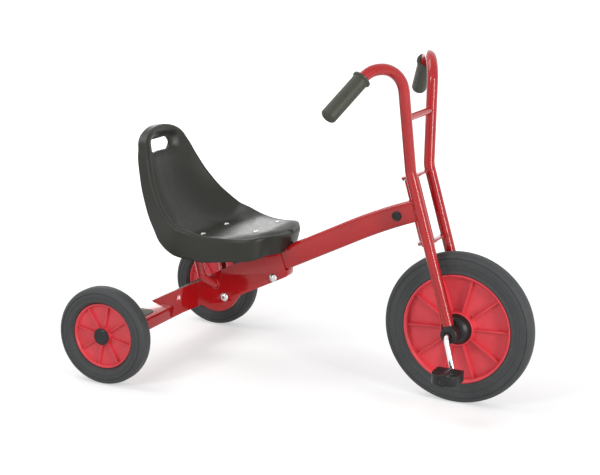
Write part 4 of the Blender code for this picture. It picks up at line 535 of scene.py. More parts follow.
def red_plastic():
    """Satin moulded plastic with faint flow marks and a fine spark-eroded grain."""
    made = Finish("red_plastic", IOR=1.5)
    flow = made.noise(22.0, 4.0, 0.6, (1.0, 0.35, 1.0))
    made.colour(made.spread(flow, 0.32, 0.68), (0.640, 0.0440, 0.0600), (0.720, 0.0580, 0.0770))
    made.rough(made.noise(60.0, 3.0), 0.36, 0.50, NOISE_ENDS)
    made.relief(made.noise(1300.0, 2.0), 0.00008, 0.5)
    return made.material


def tyre_rubber():
    """Dark grey rubber, mottled and flecked with dust."""
    made = Finish("tyre_rubber", IOR=1.45)
    mottle = made.spread(made.noise(38.0, 5.0, 0.62), 0.32, 0.70)
    grey = made.mixed(mottle, (0.033, 0.036, 0.037), (0.048, 0.052, 0.053))
    specks = made.spread(made.noise(190.0, 3.0), 0.60, 0.78)
    made.colour(specks * 0.30, grey, (0.110, 0.108, 0.100))
    made.rough(mottle, 0.56, 0.72)
    made.relief(made.noise(620.0, 3.0) * 0.6 + made.noise(2400.0, 1.0) * 0.4, 0.00022, 0.7)
    return made.material


def seat_plastic():
    """Blow-moulded black plastic: leather-fine grain and a soft sheen."""
    made = Finish("seat_plastic", IOR=1.40)
    broad = made.spread(made.noise(7.0, 3.0), 0.35, 0.65)
    made.colour(broad, (0.014, 0.0145, 0.0105), (0.020, 0.0205, 0.0155))
    made.rough(made.noise(85.0, 4.0), 0.34, 0.44, NOISE_ENDS)
    made.relief(made.cells(900.0) * 0.5 + made.noise(420.0, 3.0) * 0.5, 0.00016, 0.55)
    return made.material


def grip_rubber():
    """Soft grey-green rubber, matt, with a worn lighter bloom."""
    made = Finish("grip_rubber", IOR=1.48)
    bloom = made.spread(made.noise(55.0, 4.0, 0.6), 0.35, 0.70)
    made.colour(bloom, (0.026, 0.029, 0.018), (0.042, 0.045, 0.030))
    made.rough(bloom, 0.50, 0.64)
    made.relief(made.noise(1500.0, 2.0), 0.00010, 0.6)
    return made.material


def black_plastic():
    """Black nylon with a slight moulding grain."""
    made = Finish("black_plastic", IOR=1.38)
    tone = made.spread(made.noise(30.0, 3.0), 0.35, 0.65)
    made.colour(tone, (0.009, 0.0095, 0.0095), (0.015, 0.0155, 0.0155))
    made.rough(made.noise(120.0, 3.0), 0.30, 0.44, NOISE_ENDS)
    made.relief(made.noise(900.0, 2.0), 0.00010, 0.5)
    return made.material


def chrome():
    """Bright plating with faint polishing marks."""
    made = Finish("chrome", Metallic=1.0)
    marks = made.noise(180.0, 3.0, 0.6, (0.2, 1.0, 1.0))
    made.colour(marks, (0.74, 0.75, 0.76), (0.86, 0.86, 0.86))
    made.rough(marks, 0.07, 0.16, NOISE_ENDS)
    return made.material


def zinc_steel():
    """Zinc plate: a mottled soft grey with fine turning marks."""
    made = Finish("zinc_steel", Metallic=1.0)
    mottle = made.spread(made.noise(240.0, 3.0), 0.35, 0.68)
    made.colour(mottle, (0.52, 0.53, 0.53), (0.70, 0.70, 0.69))
    made.rough(mottle, 0.22, 0.38)
    made.relief(made.noise(1600.0, 2.0), 0.00006, 0.5)
    return made.material


MATERIALS = {
    "red_paint": red_paint(),
    "red_plastic": red_plastic(),
    "tyre_rubber": tyre_rubber(),
    "seat_plastic": seat_plastic(),
    "grip_rubber": grip_rubber(),
    "black_plastic": black_plastic(),
    "chrome": chrome(),
    "zinc_steel": zinc_steel(),
}


# Mesh tools
def facing(axis, place):
    """A matrix whose Z runs along axis, at a place."""
    rotation = Vector(axis).normalized().to_track_quat("Z", "Y").to_matrix().to_4x4()
    return Matrix.Translation(Vector(place)) @ rotation


def rounded_path(points, radii, step=math.radians(6.0)):
    """A polyline whose inner corners are arcs of the given radii."""
    corners = [Vector(point) for point in points]
    path = [corners[0]]
    for before, here, after, radius in zip(corners, corners[1:], corners[2:], radii):
        into = (here - before).normalized()
        out = (after - here).normalized()
        turn = into.angle(out)
        if turn < 1e-4 or radius <= 0:
            path.append(here)
            continue
        reach = radius * math.tan(turn / 2)
        reach = min(reach, (here - before).length * 0.49, (after - here).length * 0.49)
        size = reach / math.tan(turn / 2)
        centre = here + (out - into).normalized() * (size / math.cos(turn / 2))
        start = here - into * reach - centre
        normal = into.cross(out).normalized()
        count = max(2, round(turn / step))
        for index in range(count + 1):
            spin = Matrix.Rotation(turn * index / count, 3, normal)
            path.append(centre + spin @ start)
    path.append(corners[-1])
    return path


def rounded_loop(corners, radii, step=math.radians(11.25)):
    """A closed flat outline with its corners rounded, as (x, y) points."""
    radii = radii if isinstance(radii, (list, tuple)) else [radii] * len(corners)
    closed = [(x, y, 0.0) for x, y in [*corners, corners[0], corners[1]]]
    turned_radii = [*radii[1:], radii[0]]
    return [(point.x, point.y) for point in rounded_path(closed, turned_radii, step)[1:-1]]


def rounded_line(corners, radius, step=math.radians(15.0)):
    """An open flat outline with its inner corners rounded, as (x, y) points."""
    path = rounded_path([(x, y, 0.0) for x, y in corners], [radius] * (len(corners) - 2), step)
    return [(point.x, point.y) for point in path]


def lathe(profile, axis, place, steps=ROUND, ring=True):
    """A turned shape from (radius, height) points; a ring's profile closes on itself."""
    shape = bmesh.new()
    verts = [shape.verts.new((radius, 0.0, height)) for radius, height in profile]
    pairs = list(zip(verts, verts[1:]))
    if ring:
        pairs.append((verts[-1], verts[0]))
    edges = [shape.edges.new(pair) for pair in pairs]
    bmesh.ops.spin(shape, geom=verts + edges, cent=(0.0, 0.0, 0.0), axis=(0.0, 0.0, 1.0),
                   angle=2 * math.pi, steps=steps, use_merge=True)
    return closed_up(shape, facing(axis, place))


def closed_up(shape, matrix=None):
    """Welds a shape's seams and poles, turns its faces outwards and puts it in its place."""
    bmesh.ops.remove_doubles(shape, verts=shape.verts, dist=MERGE)
    bmesh.ops.recalc_face_normals(shape, faces=shape.faces)
    if matrix is not None:
        bmesh.ops.transform(shape, matrix=matrix, verts=shape.verts)
    return shape


def circle(radius, sides=TUBE_ROUND):
    """A round outline, as (x, y) points."""
    return [(radius * math.cos(2 * math.pi * index / sides),
             radius * math.sin(2 * math.pi * index / sides)) for index in range(sides)]


def ring_points(centre, axis, radius):
    """Points of a circle round an axis."""
    one = axis.orthogonal().normalized()
    two = axis.cross(one)
    return [centre + (one * x + two * y) * radius for x, y in circle(1.0)]


def path_frames(path, closed=False):
    """A matrix at each point of a path, carried along without twisting."""
    points = [Vector(point) for point in path]
    last = len(points) - 1
    ways = []
    for index, point in enumerate(points):
        before = points[index - 1] if index or closed else point
        after = points[(index + 1) % len(points)] if index < last or closed else point
        ways.append((after - before).normalized())
    turn = ways[0].to_track_quat("Z", "Y")
    frames = []
    for index, (point, way) in enumerate(zip(points, ways)):
        if index:
            turn = ways[index - 1].rotation_difference(way) @ turn
        frames.append(Matrix.Translation(point) @ turn.to_matrix().to_4x4())
    return frames


def extruded(shape, edges):
    """Adds a row of faces along edges; gives its new vertices and its open edges."""
    made = bmesh.ops.extrude_edge_only(shape, edges=edges)["geom"]
    fresh = [item for item in made if isinstance(item, bmesh.types.BMVert)]
    return fresh, [item for item in made
                   if isinstance(item, bmesh.types.BMEdge) and item.is_boundary]


def raised(shape, face):
    """The new vertices of a face that is extruded."""
    made = bmesh.ops.extrude_face_region(shape, geom=[face])["geom"]
    return [item for item in made if isinstance(item, bmesh.types.BMVert)]


def swept(section, path, sizes=None, closed=False):
    """Extrudes a flat section along a path; sizes scales it at each point."""
    frames = path_frames(path, closed)
    sizes = sizes or [1.0] * len(frames)
    frames = [frame_at @ Matrix.Scale(size, 4) for frame_at, size in zip(frames, sizes)]
    shape = bmesh.new()
    ring = [shape.verts.new((x, y, 0.0)) for x, y in section]
    first = shape.faces.new(ring)
    bmesh.ops.transform(shape, matrix=frames[0], verts=ring)
    edges = list(first.edges)
    if closed:
        bmesh.ops.delete(shape, geom=[first], context="FACES_ONLY")
    for old, new in zip(frames, frames[1:]):
        fresh, edges = extruded(shape, edges)
        bmesh.ops.transform(shape, matrix=new @ old.inverted(), verts=fresh)
    if closed:
        bmesh.ops.bridge_loops(shape, edges=[edge for edge in shape.edges if edge.is_boundary])
    else:
        bmesh.ops.edgeloop_fill(shape, edges=edges)
    return closed_up(shape)


def tube(path, radius, edge=0.0):
    """A round bar along a path, with its end edges eased where asked."""
    shape = swept(circle(radius), path)
    return eased(shape, edge, 2, TUBE_END_ANGLE) if edge else shape


def weld(path, radius, closed=True):
    """A weld bead: a thin rope with the ripples of each drop, along a path."""
    points = [Vector(point) for point in path]
    if closed:
        points.append(points[0])
    fine = [points[0]]
    for one, two in zip(points, points[1:]):
        count = max(1, round((two - one).length / (radius * WELD_BEAT)))
        fine += [one.lerp(two, step / count) for step in range(1, count + 1)]
    if closed:
        fine.pop()
    sizes = [sum((height * math.sin(pace * index) for height, pace in WELD_RIPPLES), 1.0)
             for index in range(len(fine))]
    return swept(circle(radius, WELD_ROUND), fine, sizes, closed)


def eased(shape, width, segments=2, angle=SHARP, chosen=None):
    """Rounds every edge sharper than an angle, or the chosen ones."""
    limit = math.radians(angle)
    sharp = chosen or [edge for edge in shape.edges
                       if edge.is_manifold and edge.calc_face_angle(0.0) > limit]
    bmesh.ops.bevel(shape, geom=sharp, offset=width, offset_type="OFFSET", segments=segments,
                    profile=0.5, affect="EDGES", clamp_overlap=True, material=-1)
    return shape


def slab(outline, low, high, matrix=None, edge=0.0):
    """A flat outline extruded between two heights, with its edges eased."""
    shape = bmesh.new()
    face = shape.faces.new([shape.verts.new((x, y, low)) for x, y in outline])
    bmesh.ops.translate(shape, vec=(0.0, 0.0, high - low), verts=raised(shape, face))
    if edge:
        eased(shape, edge)
    return closed_up(shape, matrix)


def hexagon(flats, low, high, axis, place):
    """A hexagon nut's body with its corners turned off at both ends."""
    return slab(circle(flats / math.sqrt(3.0), 6), low, high, facing(axis, place), NUT_CHAMFER)


def placed(name, shape):
    """Turns a shape into an object at the origin, with its place in its mesh."""
    mesh = bpy.data.meshes.new(name)
    shape.to_mesh(mesh)
    shape.free()
    made = bpy.data.objects.new(name, mesh)
    bpy.context.scene.collection.objects.link(made)
    return made


def carried(name, node, body, edge, segments=2):
    """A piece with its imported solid's form: flat faces made whole and edges eased."""
    shape = bmesh.new()
    shape.from_mesh(frame["nodes"][node].data)
    bmesh.ops.remove_doubles(shape, verts=shape.verts, dist=MERGE)
    bmesh.ops.dissolve_limit(shape, angle_limit=math.radians(FLAT), verts=shape.verts,
                             edges=shape.edges, use_dissolve_boundaries=False)
    piece(name, eased(shape, edge, segments, CARRIED_SHARP), "red_paint", body, [node])


def turned(name, node, outline, corner, place, slot, body, axis=Y_AXIS, steps=ROUND, ring=False):
    """A turned piece from (radius, height) points, whose corners are rounded."""
    line = rounded_loop(outline, corner) if ring else rounded_line(outline, corner)
    piece(name, lathe(line, axis, place, steps, ring), slot, body, [node])


def headed(dome, radius, height, face, shank, low, chamfer=0.0):
    """Outline of a domed head on a face, with its shank down to a height."""
    head = [(radius * out, face + height * up) for out, up in dome]
    tip = [(shank, low + chamfer), (shank - chamfer, low)] if chamfer else [(shank, low)]
    return [*head, (shank, face), *tip, (0.0, low)]


def mirrored(line):
    """A ring's outline from its upper half."""
    return line + [(at, -height) for at, height in reversed(line)]


def hermite(share, start, leave, end, arrive):
    """A smooth step from one value or place to another, with its slopes at both ends."""
    cube, square = share ** 3, share ** 2
    return ((2 * cube - 3 * square + 1) * start + (cube - 2 * square + share) * leave
            + (3 * square - 2 * cube) * end + (cube - square) * arrive)


def piece(name, shapes, slot, body, nodes=(), angle=SHARP):
    """Joins shapes into one object that rides on a body and stands for CAD nodes."""
    joined = bmesh.new()
    for shape in shapes if isinstance(shapes, list) else [shapes]:
        part = bpy.data.meshes.new(name + "_part")
        shape.to_mesh(part)
        shape.free()
        joined.from_mesh(part)
        bpy.data.meshes.remove(part)
    made = placed(name, joined)
    made.data.shade_smooth()
    made.data.set_sharp_from_angle(angle=math.radians(angle))
    made.data.materials.append(MATERIALS[slot])
    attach(made, body)
    if nodes:
        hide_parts(*nodes)


# Places on the tricycle
def blade_point(along, side=0.0):
    """A point on the line of the fork blades, measured up from the front axle."""
    return FRONT_AXLE + STEER_UP * along + Y_AXIS * side


def steer_point(along):
    """A point on the steering axis, level with the same place on the blades."""
    return blade_point(along) + STEER_BACK * AXIS_BEHIND_BLADES


def crank_end(side):
    """The pedal axis; side is -1 on the right and 1 on the left."""
    drop = Vector((math.sin(CRANK_TILT), 0.0, -math.cos(CRANK_TILT))) * CRANK_LENGTH
    return FRONT_AXLE + drop * -side


# The beam runs from its rear end to the middle of the head tube
HEAD_MIDDLE = steer_point((LOWER_YOKE_AT + UPPER_YOKE_AT) / 2)
HEAD_X = HEAD_MIDDLE.x - REAR_X
BEAM_BEND_START = HEAD_X - BEAM_BEND_LENGTH
BEAM_PLUG_X = HEAD_X - BEAM_PLUG_BEHIND_HEAD
BEAM_RISE = HEAD_MIDDLE.z - BEAM_BELOW_HEAD_MIDDLE - BEAM_REAR_HEIGHT
BEAM_SLOPE = math.atan((BEAM_RISE - math.tan(BEAM_HEAD_SLOPE) * BEAM_BEND_LENGTH / 2)
                       / (BEAM_BEND_START - BEAM_REAR + BEAM_BEND_LENGTH / 2))


def beam_height(x):
    """Height of the beam's middle line at a distance in front of the rear axle."""
    straight = BEAM_REAR_HEIGHT + math.tan(BEAM_SLOPE) * (x - BEAM_REAR)
    share = max(0.0, (x - BEAM_BEND_START) / BEAM_BEND_LENGTH)
    slope_change = math.tan(BEAM_HEAD_SLOPE) - math.tan(BEAM_SLOPE)
    return straight + BEAM_BEND_LENGTH * slope_change * share * share / 2


def beam_half_depth(x):
    """Half the beam's upright depth, which tapers from the bend to the head."""
    share = max(0.0, (x - BEAM_BEND_START) / BEAM_BEND_LENGTH)
    depth = BEAM_DEPTH + (BEAM_HEAD_DEPTH - BEAM_DEPTH) * share
    return depth / 2 / math.cos(BEAM_SLOPE)


def bolt_height(x):
    """Height of the clamp bolts, which pass just below the beam."""
    return beam_height(x) - beam_half_depth(x) - BOLT_BELOW_BEAM


def pan_height(x):
    """Upper face of the seat pan at a distance in front of the rear axle."""
    return SEAT_BOLT_Z + PAN_RISE * (x - SEAT_BOLT_X)


def upright(x=0.0, y=0.0, z=0.0):
    """Stands a flat outline up, so that its own X, Y are the part's X, Z."""
    return Matrix.Translation((x, y, z)) @ Matrix.Rotation(math.radians(90.0), 4, "X")


def sided(place, side):
    """A place or direction given for the left, moved to the side that is asked for."""
    return Vector((place[0], place[1] * side, place[2]))


# Wheels
def tyre(name, radius, width, rim_radius, rim_width, centre, body, node):
    """Solid rubber tyre: bead, side wall with a fine line, grooved shoulder and tread."""
    half = width / 2
    inner = rim_radius + GAP
    side = [(inner + up, rim_width / 2 + out) for up, out in TYRE_BEAD]
    side += [(inner + (radius - inner) * share, half - drop) for share, drop in TYRE_WALL]
    side += [(radius - below, half - drop) for below, drop in TYRE_SHOULDER]
    profile = mirrored(rounded_line(side, TYRE_CORNER))
    piece(name, lathe(profile, Y_AXIS, centre, WHEEL_ROUND), "tyre_rubber", body, [node],
          TYRE_SHARP)


def ribs(count, turn, inner, outer, half, centre):
    """The straight ribs of a wheel's disc."""
    return [rib(inner, outer, half, turn + 2 * math.pi * index / count, centre)
            for index in range(count)]


def rib(inner, outer, half, angle, centre):
    """One straight rib of a wheel disc, thinner at its crests than at its root."""
    shape = bmesh.new()
    bmesh.ops.create_cube(shape, size=1.0)
    across = [edge for edge in shape.edges
              if abs(edge.verts[0].co.y - edge.verts[1].co.y) > 0.5]
    bmesh.ops.subdivide_edges(shape, edges=across, cuts=1)
    for vertex in shape.verts:
        if abs(vertex.co.y) > 0.1:
            vertex.co.z *= RIB_CREST
    bmesh.ops.scale(shape, vec=(outer - inner, 2 * half, RIB_THICKNESS), verts=shape.verts)
    eased(shape, RIB_EDGE, 2, RIB_SHARP)
    bmesh.ops.translate(shape, vec=((outer + inner) / 2, 0.0, 0.0), verts=shape.verts)
    return closed_up(shape, Matrix.Translation(centre) @ Matrix.Rotation(-angle, 4, "Y"))


def rim_side(lip, foot, web, half):
    """A rim's side from its web up to the rounded edge beside the tyre."""
    return [(lip - foot[0], web), (lip - foot[1], half - LIP_DROP),
            *[(lip + out, half - drop) for out, drop in LIP_EDGE]]


def front_wheel():
    """Tyre, ribbed disc with its hub ring, hub covers and the crank axle."""
    tyre("front_tyre_rubber", FRONT_TYRE_RADIUS, FRONT_TYRE_WIDTH, FRONT_RIM_RADIUS,
         FRONT_RIM_WIDTH, FRONT_AXLE, "front_wheel", "front_tyre")
    half = FRONT_RIM_WIDTH / 2
    web = WEB_THICKNESS / 2
    recess = HUB_COVER_RADIUS + GAP
    ring = recess + HUB_RING_WALL
    upper = [
        (AXLE_RADIUS + GAP, HUB_FLOOR_HALF),
        (recess, HUB_FLOOR_HALF),
        (recess, HUB_RING_HALF),
        (ring - HUB_RING_TAPER, HUB_RING_HALF),
        (ring + 2 * HUB_RING_TAPER, web),
        *rim_side(FRONT_RIM_RADIUS - LIP_WALL, FRONT_LIP_FOOT, web, half),
        (FRONT_RIM_RADIUS, half),
    ]
    profile = mirrored(rounded_line(upper, FRONT_RIM_CORNER))
    shapes = [lathe(profile, Y_AXIS, FRONT_AXLE, WHEEL_ROUND)]
    shapes += ribs(FRONT_RIBS, FRONT_RIB_TURN, ring - HUB_RING_WALL / 2,
                   FRONT_RIM_RADIUS - RIB_END, HUB_RING_HALF - RIB_DROP, FRONT_AXLE)
    piece("front_wheel_disc", shapes, "red_plastic", "front_wheel", ["front_rim"])
    for side, name in SIDES:
        hub_cover(side, name)
    crank_axle()


def hub_cover(side, name):
    """A black domed cover in the hub ring."""
    outer, face, bore = HUB_COVER_RADIUS, HUB_COVER_FACE, AXLE_RADIUS + RUN
    foot = HUB_FLOOR_HALF + GAP
    dome = [(outer * share, face - drop) for share, drop in HUB_COVER_DOME]
    outline = [(bore, foot + HUB_COVER_BOSS), (bore, face - HUB_COVER_DISH), *dome,
               (outer, foot), (outer - HUB_COVER_WALL, foot)]
    profile = rounded_line(outline, HUB_COVER_CORNER, math.radians(4.0))
    piece(f"hub_cover_moulding_{name}", lathe(profile, Y_AXIS * side, FRONT_AXLE),
          "black_plastic", "front_wheel", [f"hub_cover_{name}"])


def crank_axle():
    """One bent bright rod: pedal pin, crank, axle, crank, pedal pin."""
    pin_end = PEDAL_START + PEDAL_WIDTH - CRANK_PIN_SHORT
    corners = []
    for side in (-1, 1):
        ends = [crank_end(side) + Y_AXIS * side * pin_end,
                crank_end(side) + Y_AXIS * side * CRANK_PLANE,
                FRONT_AXLE + Y_AXIS * side * CRANK_PLANE]
        corners += ends if side < 0 else reversed(ends)
    path = rounded_path(corners, [CRANK_BEND] * 4)
    piece("crank_rod", tube(path, AXLE_RADIUS, ROD_EDGE), "chrome", "front_wheel",
          ["crank_axle"])


def pedal(side, name):
    """A block with a round boss along the crank pin, grooved wings and an end plug."""
    centre = crank_end(side)
    outer = PEDAL_START + PEDAL_WIDTH
    face = outer - PEDAL_PLUG_PROUD
    half = PEDAL_LENGTH / 2
    corners = [(-half, PEDAL_START), (half, PEDAL_START), (half, face), (-half, face)]
    outline = rounded_loop(corners, [PEDAL_INNER_CORNER] * 2 + [PEDAL_CORNER] * 2,
                           math.radians(7.5))
    wings = slab([(x, y * side) for x, y in outline], -PEDAL_THICKNESS / 2,
                 PEDAL_THICKNESS / 2)
    cut_treads(wings, side)
    eased(wings, PEDAL_EDGE, 3)
    closed_up(wings, Matrix.Translation(centre))
    start, top, pocket = PEDAL_START + PEDAL_BOSS_BACK, outer - PEDAL_TOP, outer - PEDAL_POCKET
    boss = rounded_line([
        (0.0, start),
        (PEDAL_BOSS_RADIUS, start),
        (PEDAL_BOSS_RADIUS, top),
        (PEDAL_PLUG_RADIUS + GAP, top),
        (PEDAL_PLUG_RADIUS + GAP, pocket),
        (0.0, pocket),
    ], PEDAL_BOSS_CORNER)
    shapes = [wings, lathe(boss, Y_AXIS * side, centre, ring=False)]
    piece(f"pedal_block_{name}", shapes, "black_plastic", f"{name}_pedal", [f"pedal_{name}"])
    plug = [(PEDAL_PLUG_RADIUS * share, top - drop) for share, drop in PEDAL_PLUG_FACE]
    plug += [(PEDAL_PLUG_RADIUS, outer - PEDAL_PLUG_DEPTH), (0.0, outer - PEDAL_PLUG_DEPTH)]
    turned(f"pedal_plug_disc_{name}", f"pedal_plug_{name}", plug, SMALL_CORNER, centre,
           "black_plastic", f"{name}_pedal", Y_AXIS * side)


def cut_treads(wings, side):
    """Sinks the grooves across both wings of a pedal, above and below."""
    middle = side * (PEDAL_START + PEDAL_WIDTH / 2)
    rows = [middle + (index - (PEDAL_GROOVES - 1) / 2) * PEDAL_GROOVE_PITCH
            for index in range(PEDAL_GROOVES)]
    cuts = [((x, 0.0, 0.0), (1.0, 0.0, 0.0)) for end in (PEDAL_GROOVE_INNER, PEDAL_GROOVE_OUTER)
            for x in (-end, end)]
    cuts += [((0.0, y + edge * PEDAL_GROOVE_WIDTH / 2, 0.0), (0.0, 1.0, 0.0))
             for y in rows for edge in (-1, 1)]
    for place, normal in cuts:
        bmesh.ops.bisect_plane(wings, geom=wings.verts[:] + wings.edges[:] + wings.faces[:],
                               plane_co=place, plane_no=normal)
    wings.normal_update()
    sunk = []
    for face in wings.faces:
        at = face.calc_center_median()
        if (abs(face.normal.z) > 0.9 and PEDAL_GROOVE_INNER < abs(at.x) < PEDAL_GROOVE_OUTER
                and min(abs(at.y - y) for y in rows) < PEDAL_GROOVE_WIDTH / 2):
            sunk.append((face, -face.normal * PEDAL_GROOVE_DEPTH))
    for face, drop in sunk:
        bmesh.ops.translate(wings, vec=drop, verts=raised(wings, face))
    bmesh.ops.delete(wings, geom=[face for face, drop in sunk], context="FACES_ONLY")


def bearing_housing(side, name):
    """Black bearing block at the blade's foot: a round drum with a stub into the tube."""
    bore, outer, face = AXLE_RADIUS + RUN, HOUSING_RADIUS, HOUSING_OUTER - HOUSING_SINK
    profile = rounded_loop([
        (bore, face),
        *[(HOUSING_MOUTH + out, HOUSING_OUTER - drop) for out, drop in HOUSING_RING],
        (outer - HOUSING_SLOPE, face),
        (outer, HOUSING_OUTER - HOUSING_LIP),
        (outer, HOUSING_INNER + HOUSING_CHAMFER),
        (outer - HOUSING_CHAMFER, HOUSING_INNER),
        (bore, HOUSING_INNER),
    ], HOUSING_CORNER)
    stub = tube([blade_point(at, side * BLADE_HALF_GAP)
                 for at in (HOUSING_COLLAR_START, BLADE_START - GAP)], STEER_TUBE_RADIUS, ROD_EDGE)
    piece(f"bearing_block_{name}", [lathe(profile, Y_AXIS * side, FRONT_AXLE), stub],
          "black_plastic", "steering", [f"bearing_housing_{name}"])


def rear_wheel(side, name):
    """Tyre, ribbed disc with its boss, and the hub cap."""
    body = f"rear_wheel_{name}"
    centre = REAR_AXLE + Y_AXIS * side * TRACK / 2
    outward = Y_AXIS * side
    tyre(f"rear_tyre_rubber_{name}", REAR_TYRE_RADIUS, REAR_TYRE_WIDTH, REAR_RIM_RADIUS,
         REAR_RIM_WIDTH, centre, body, f"rear_tyre_{name}")
    half = REAR_RIM_WIDTH / 2
    web = WEB_THICKNESS / 2
    lip = REAR_RIM_RADIUS - LIP_WALL
    boss = HUB_BOSS_RADIUS
    bore = REAR_BUSH_RADIUS + GAP
    profile = rounded_loop([
        (REAR_RIM_RADIUS, half),
        (REAR_RIM_RADIUS, -half),
        (lip, -half),
        (lip - REAR_LIP_FOOT[0], -web),
        (boss + HUB_BOSS_FOOT, -web),
        (boss - HUB_BOSS_TAPER, -HUB_INNER_REACH),
        (bore, -HUB_INNER_REACH),
        (bore, HUB_POCKET_FLOOR),
        (HUB_POCKET_RADIUS, HUB_POCKET_FLOOR),
        (HUB_POCKET_RADIUS, HUB_FACE),
        (boss, HUB_FACE),
        (boss + HUB_BOSS_FOOT, web),
        *rim_side(lip, REAR_LIP_FOOT, web, half),
    ], REAR_RIM_CORNER)
    shapes = [lathe(profile, outward, centre, WHEEL_ROUND)]
    shapes += ribs(REAR_RIBS, REAR_RIB_TURN, boss - HUB_BOSS_TAPER, REAR_RIM_RADIUS - RIB_END,
                   half - RIB_DROP / 2, centre)
    piece(f"rear_wheel_disc_{name}", shapes, "red_plastic", body, [f"rear_rim_{name}"])
    face = HUB_FACE + GAP
    cap = headed(REAR_CAP_DOME, REAR_CAP_RADIUS, REAR_CAP_THICKNESS, face,
                 HUB_POCKET_RADIUS - GAP, face - REAR_CAP_SPIGOT)
    turned(f"rear_hub_cap_disc_{name}", f"rear_hub_cap_{name}", cap, CAP_CORNER, centre,
           "black_plastic", body, outward)


# Steering
def eased_bend(start, leave, end, arrive, steps):
    """Points of a smooth bend between two places, after the first."""
    reach = (end - start).length * BEND_FULLNESS
    leave, arrive = leave.normalized() * reach, arrive.normalized() * reach
    return [hermite(step / steps, start, leave, end, arrive) for step in range(1, steps + 1)]


def fork_path(side):
    """Middle line of one bent tube, where its grip starts and the grip's direction."""
    foot = blade_point(BLADE_START, side * BLADE_HALF_GAP)
    kink = blade_point(KINK_AT, side * BLADE_HALF_GAP)
    bend, top, grip_at = (kink + sided(place, side) for place in (BEND_START, BEND_TOP, GRIP_START))
    down = sided(GRIP_DIRECTION, side).normalized()
    over = grip_at - bend
    over.z = 0.0
    path = rounded_path([foot, kink, bend], [KINK_BEND], math.radians(2.0))
    path += eased_bend(bend, bend - kink, top, over, BEND_STEPS)
    path += eased_bend(top, over, grip_at, down, GRIP_BEND_STEPS)
    path.append(grip_at + down * (GRIP_LENGTH - GRIP_END_WALL - GAP))
    return path, grip_at, down


def grip(name, start, direction):
    """A moulded grip: flange, lengthwise flutes that fade at both ends, closed round end."""
    flange, width = GRIP_FLANGE_RADIUS, GRIP_FLANGE_WIDTH
    body_start, body_end = width + GRIP_FLANGE_FADE, GRIP_LENGTH - GRIP_END_WALL
    rows = [(STEER_TUBE_RADIUS + GAP + out, at) for out, at in GRIP_MOUTH]
    rows += [(flange - inwards, at) for inwards, at in GRIP_FLANGE_FRONT]
    rows += [(flange - inwards, width - at) for inwards, at in GRIP_FLANGE_BACK]
    rows += [(GRIP_RADIUS + out, width + at) for out, at in GRIP_FLANGE_FOOT]
    rows += [(GRIP_RADIUS, body_start + (body_end - body_start) * step / GRIP_ROWS)
             for step in range(GRIP_ROWS + 1)]
    for step in range(1, GRIP_END_ROWS + 1):
        angle = math.pi / 2 * step / GRIP_END_ROWS
        rows.append((GRIP_RADIUS * math.cos(angle) ** 0.75 if step < GRIP_END_ROWS else 0.0,
                     body_end + GRIP_END_WALL * math.sin(angle)))
    shape = lathe(rows, (0.0, 0.0, 1.0), (0.0, 0.0, 0.0), GRIP_FLUTES * 8, ring=False)
    cut_flutes(shape, body_start, body_end + GRIP_END_WALL / 2)
    bmesh.ops.transform(shape, matrix=facing(direction, start), verts=shape.verts)
    piece(f"grip_sleeve_{name}", shape, "grip_rubber", "steering", [f"grip_{name}"], GRIP_SHARP)


def cut_flutes(shape, low, high):
    """Presses the lengthwise flutes into a grip that stands on Z, between two heights."""
    for vertex in shape.verts:
        x, y, z = vertex.co
        radius = math.hypot(x, y)
        if low < z < high and radius > GRIP_RADIUS * 0.7:
            fade = min(1.0, (z - low) / GRIP_FLUTE_FADE, (high - z) / GRIP_FLUTE_FADE)
            wave = 0.5 - 0.5 * math.cos(math.atan2(y, x) * GRIP_FLUTES)
            left = 1.0 - GRIP_FLUTE_DEPTH * fade * wave ** 0.6 / radius
            vertex.co.x *= left
            vertex.co.y *= left


def saddle(centre, axis, radius, host_axis, host_radius):
    """Where a round bar meets the skin of a round tube: a loop of points for its weld."""
    host_axis = host_axis.normalized()
    loop = []
    for start in ring_points(centre, axis, radius):
        offset = start - centre
        flat = offset - host_axis * offset.dot(host_axis)
        way = axis - host_axis * axis.dot(host_axis)
        a, b = way.dot(way), 2 * flat.dot(way)
        c = flat.dot(flat) - host_radius * host_radius
        reach = (-b + math.sqrt(max(0.0, b * b - 4 * a * c))) / (2 * a)
        loop.append(start + axis * reach)
    return loop


def steering():
    """Fork and handlebar tubes, brace, grips, yokes with their welds, pin and nut."""
    share = BRACE_RISE / BEND_START[2]
    level = blade_point(KINK_AT) + Vector((BEND_START[0] * share, 0.0, BRACE_RISE))
    brace_half = BLADE_HALF_GAP + BEND_START[1] * share
    welds = []
    for side, name in SIDES:
        path, grip_at, down = fork_path(side)
        piece(f"fork_and_bar_tube_{name}", tube(path, STEER_TUBE_RADIUS), "red_paint",
              "steering", [f"fork_tube_{name}"])
        grip(name, grip_at, down)
        bearing_housing(side, name)
        welds.append(weld(saddle(level + Y_AXIS * side * brace_half, -Y_AXIS * side,
                                 BRACE_RADIUS, sided(BEND_START, side), STEER_TUBE_RADIUS),
                          BRACE_WELD))
    reach = Y_AXIS * (brace_half - STEER_TUBE_RADIUS * BRACE_END_SHARE)
    piece("bar_brace", tube([level - reach, level + reach], BRACE_RADIUS), "red_paint",
          "steering", ["handlebar_brace"])
    for along in (LOWER_YOKE_AT, UPPER_YOKE_AT):
        for side, _ in SIDES:
            welds += yoke_welds(along, side)
    piece("fork_welds", welds, "red_paint", "steering")
    for name in ("lower_yoke", "upper_yoke"):
        carried(f"{name}_plate", name, "steering", YOKE_EDGE)
    steering_pin()


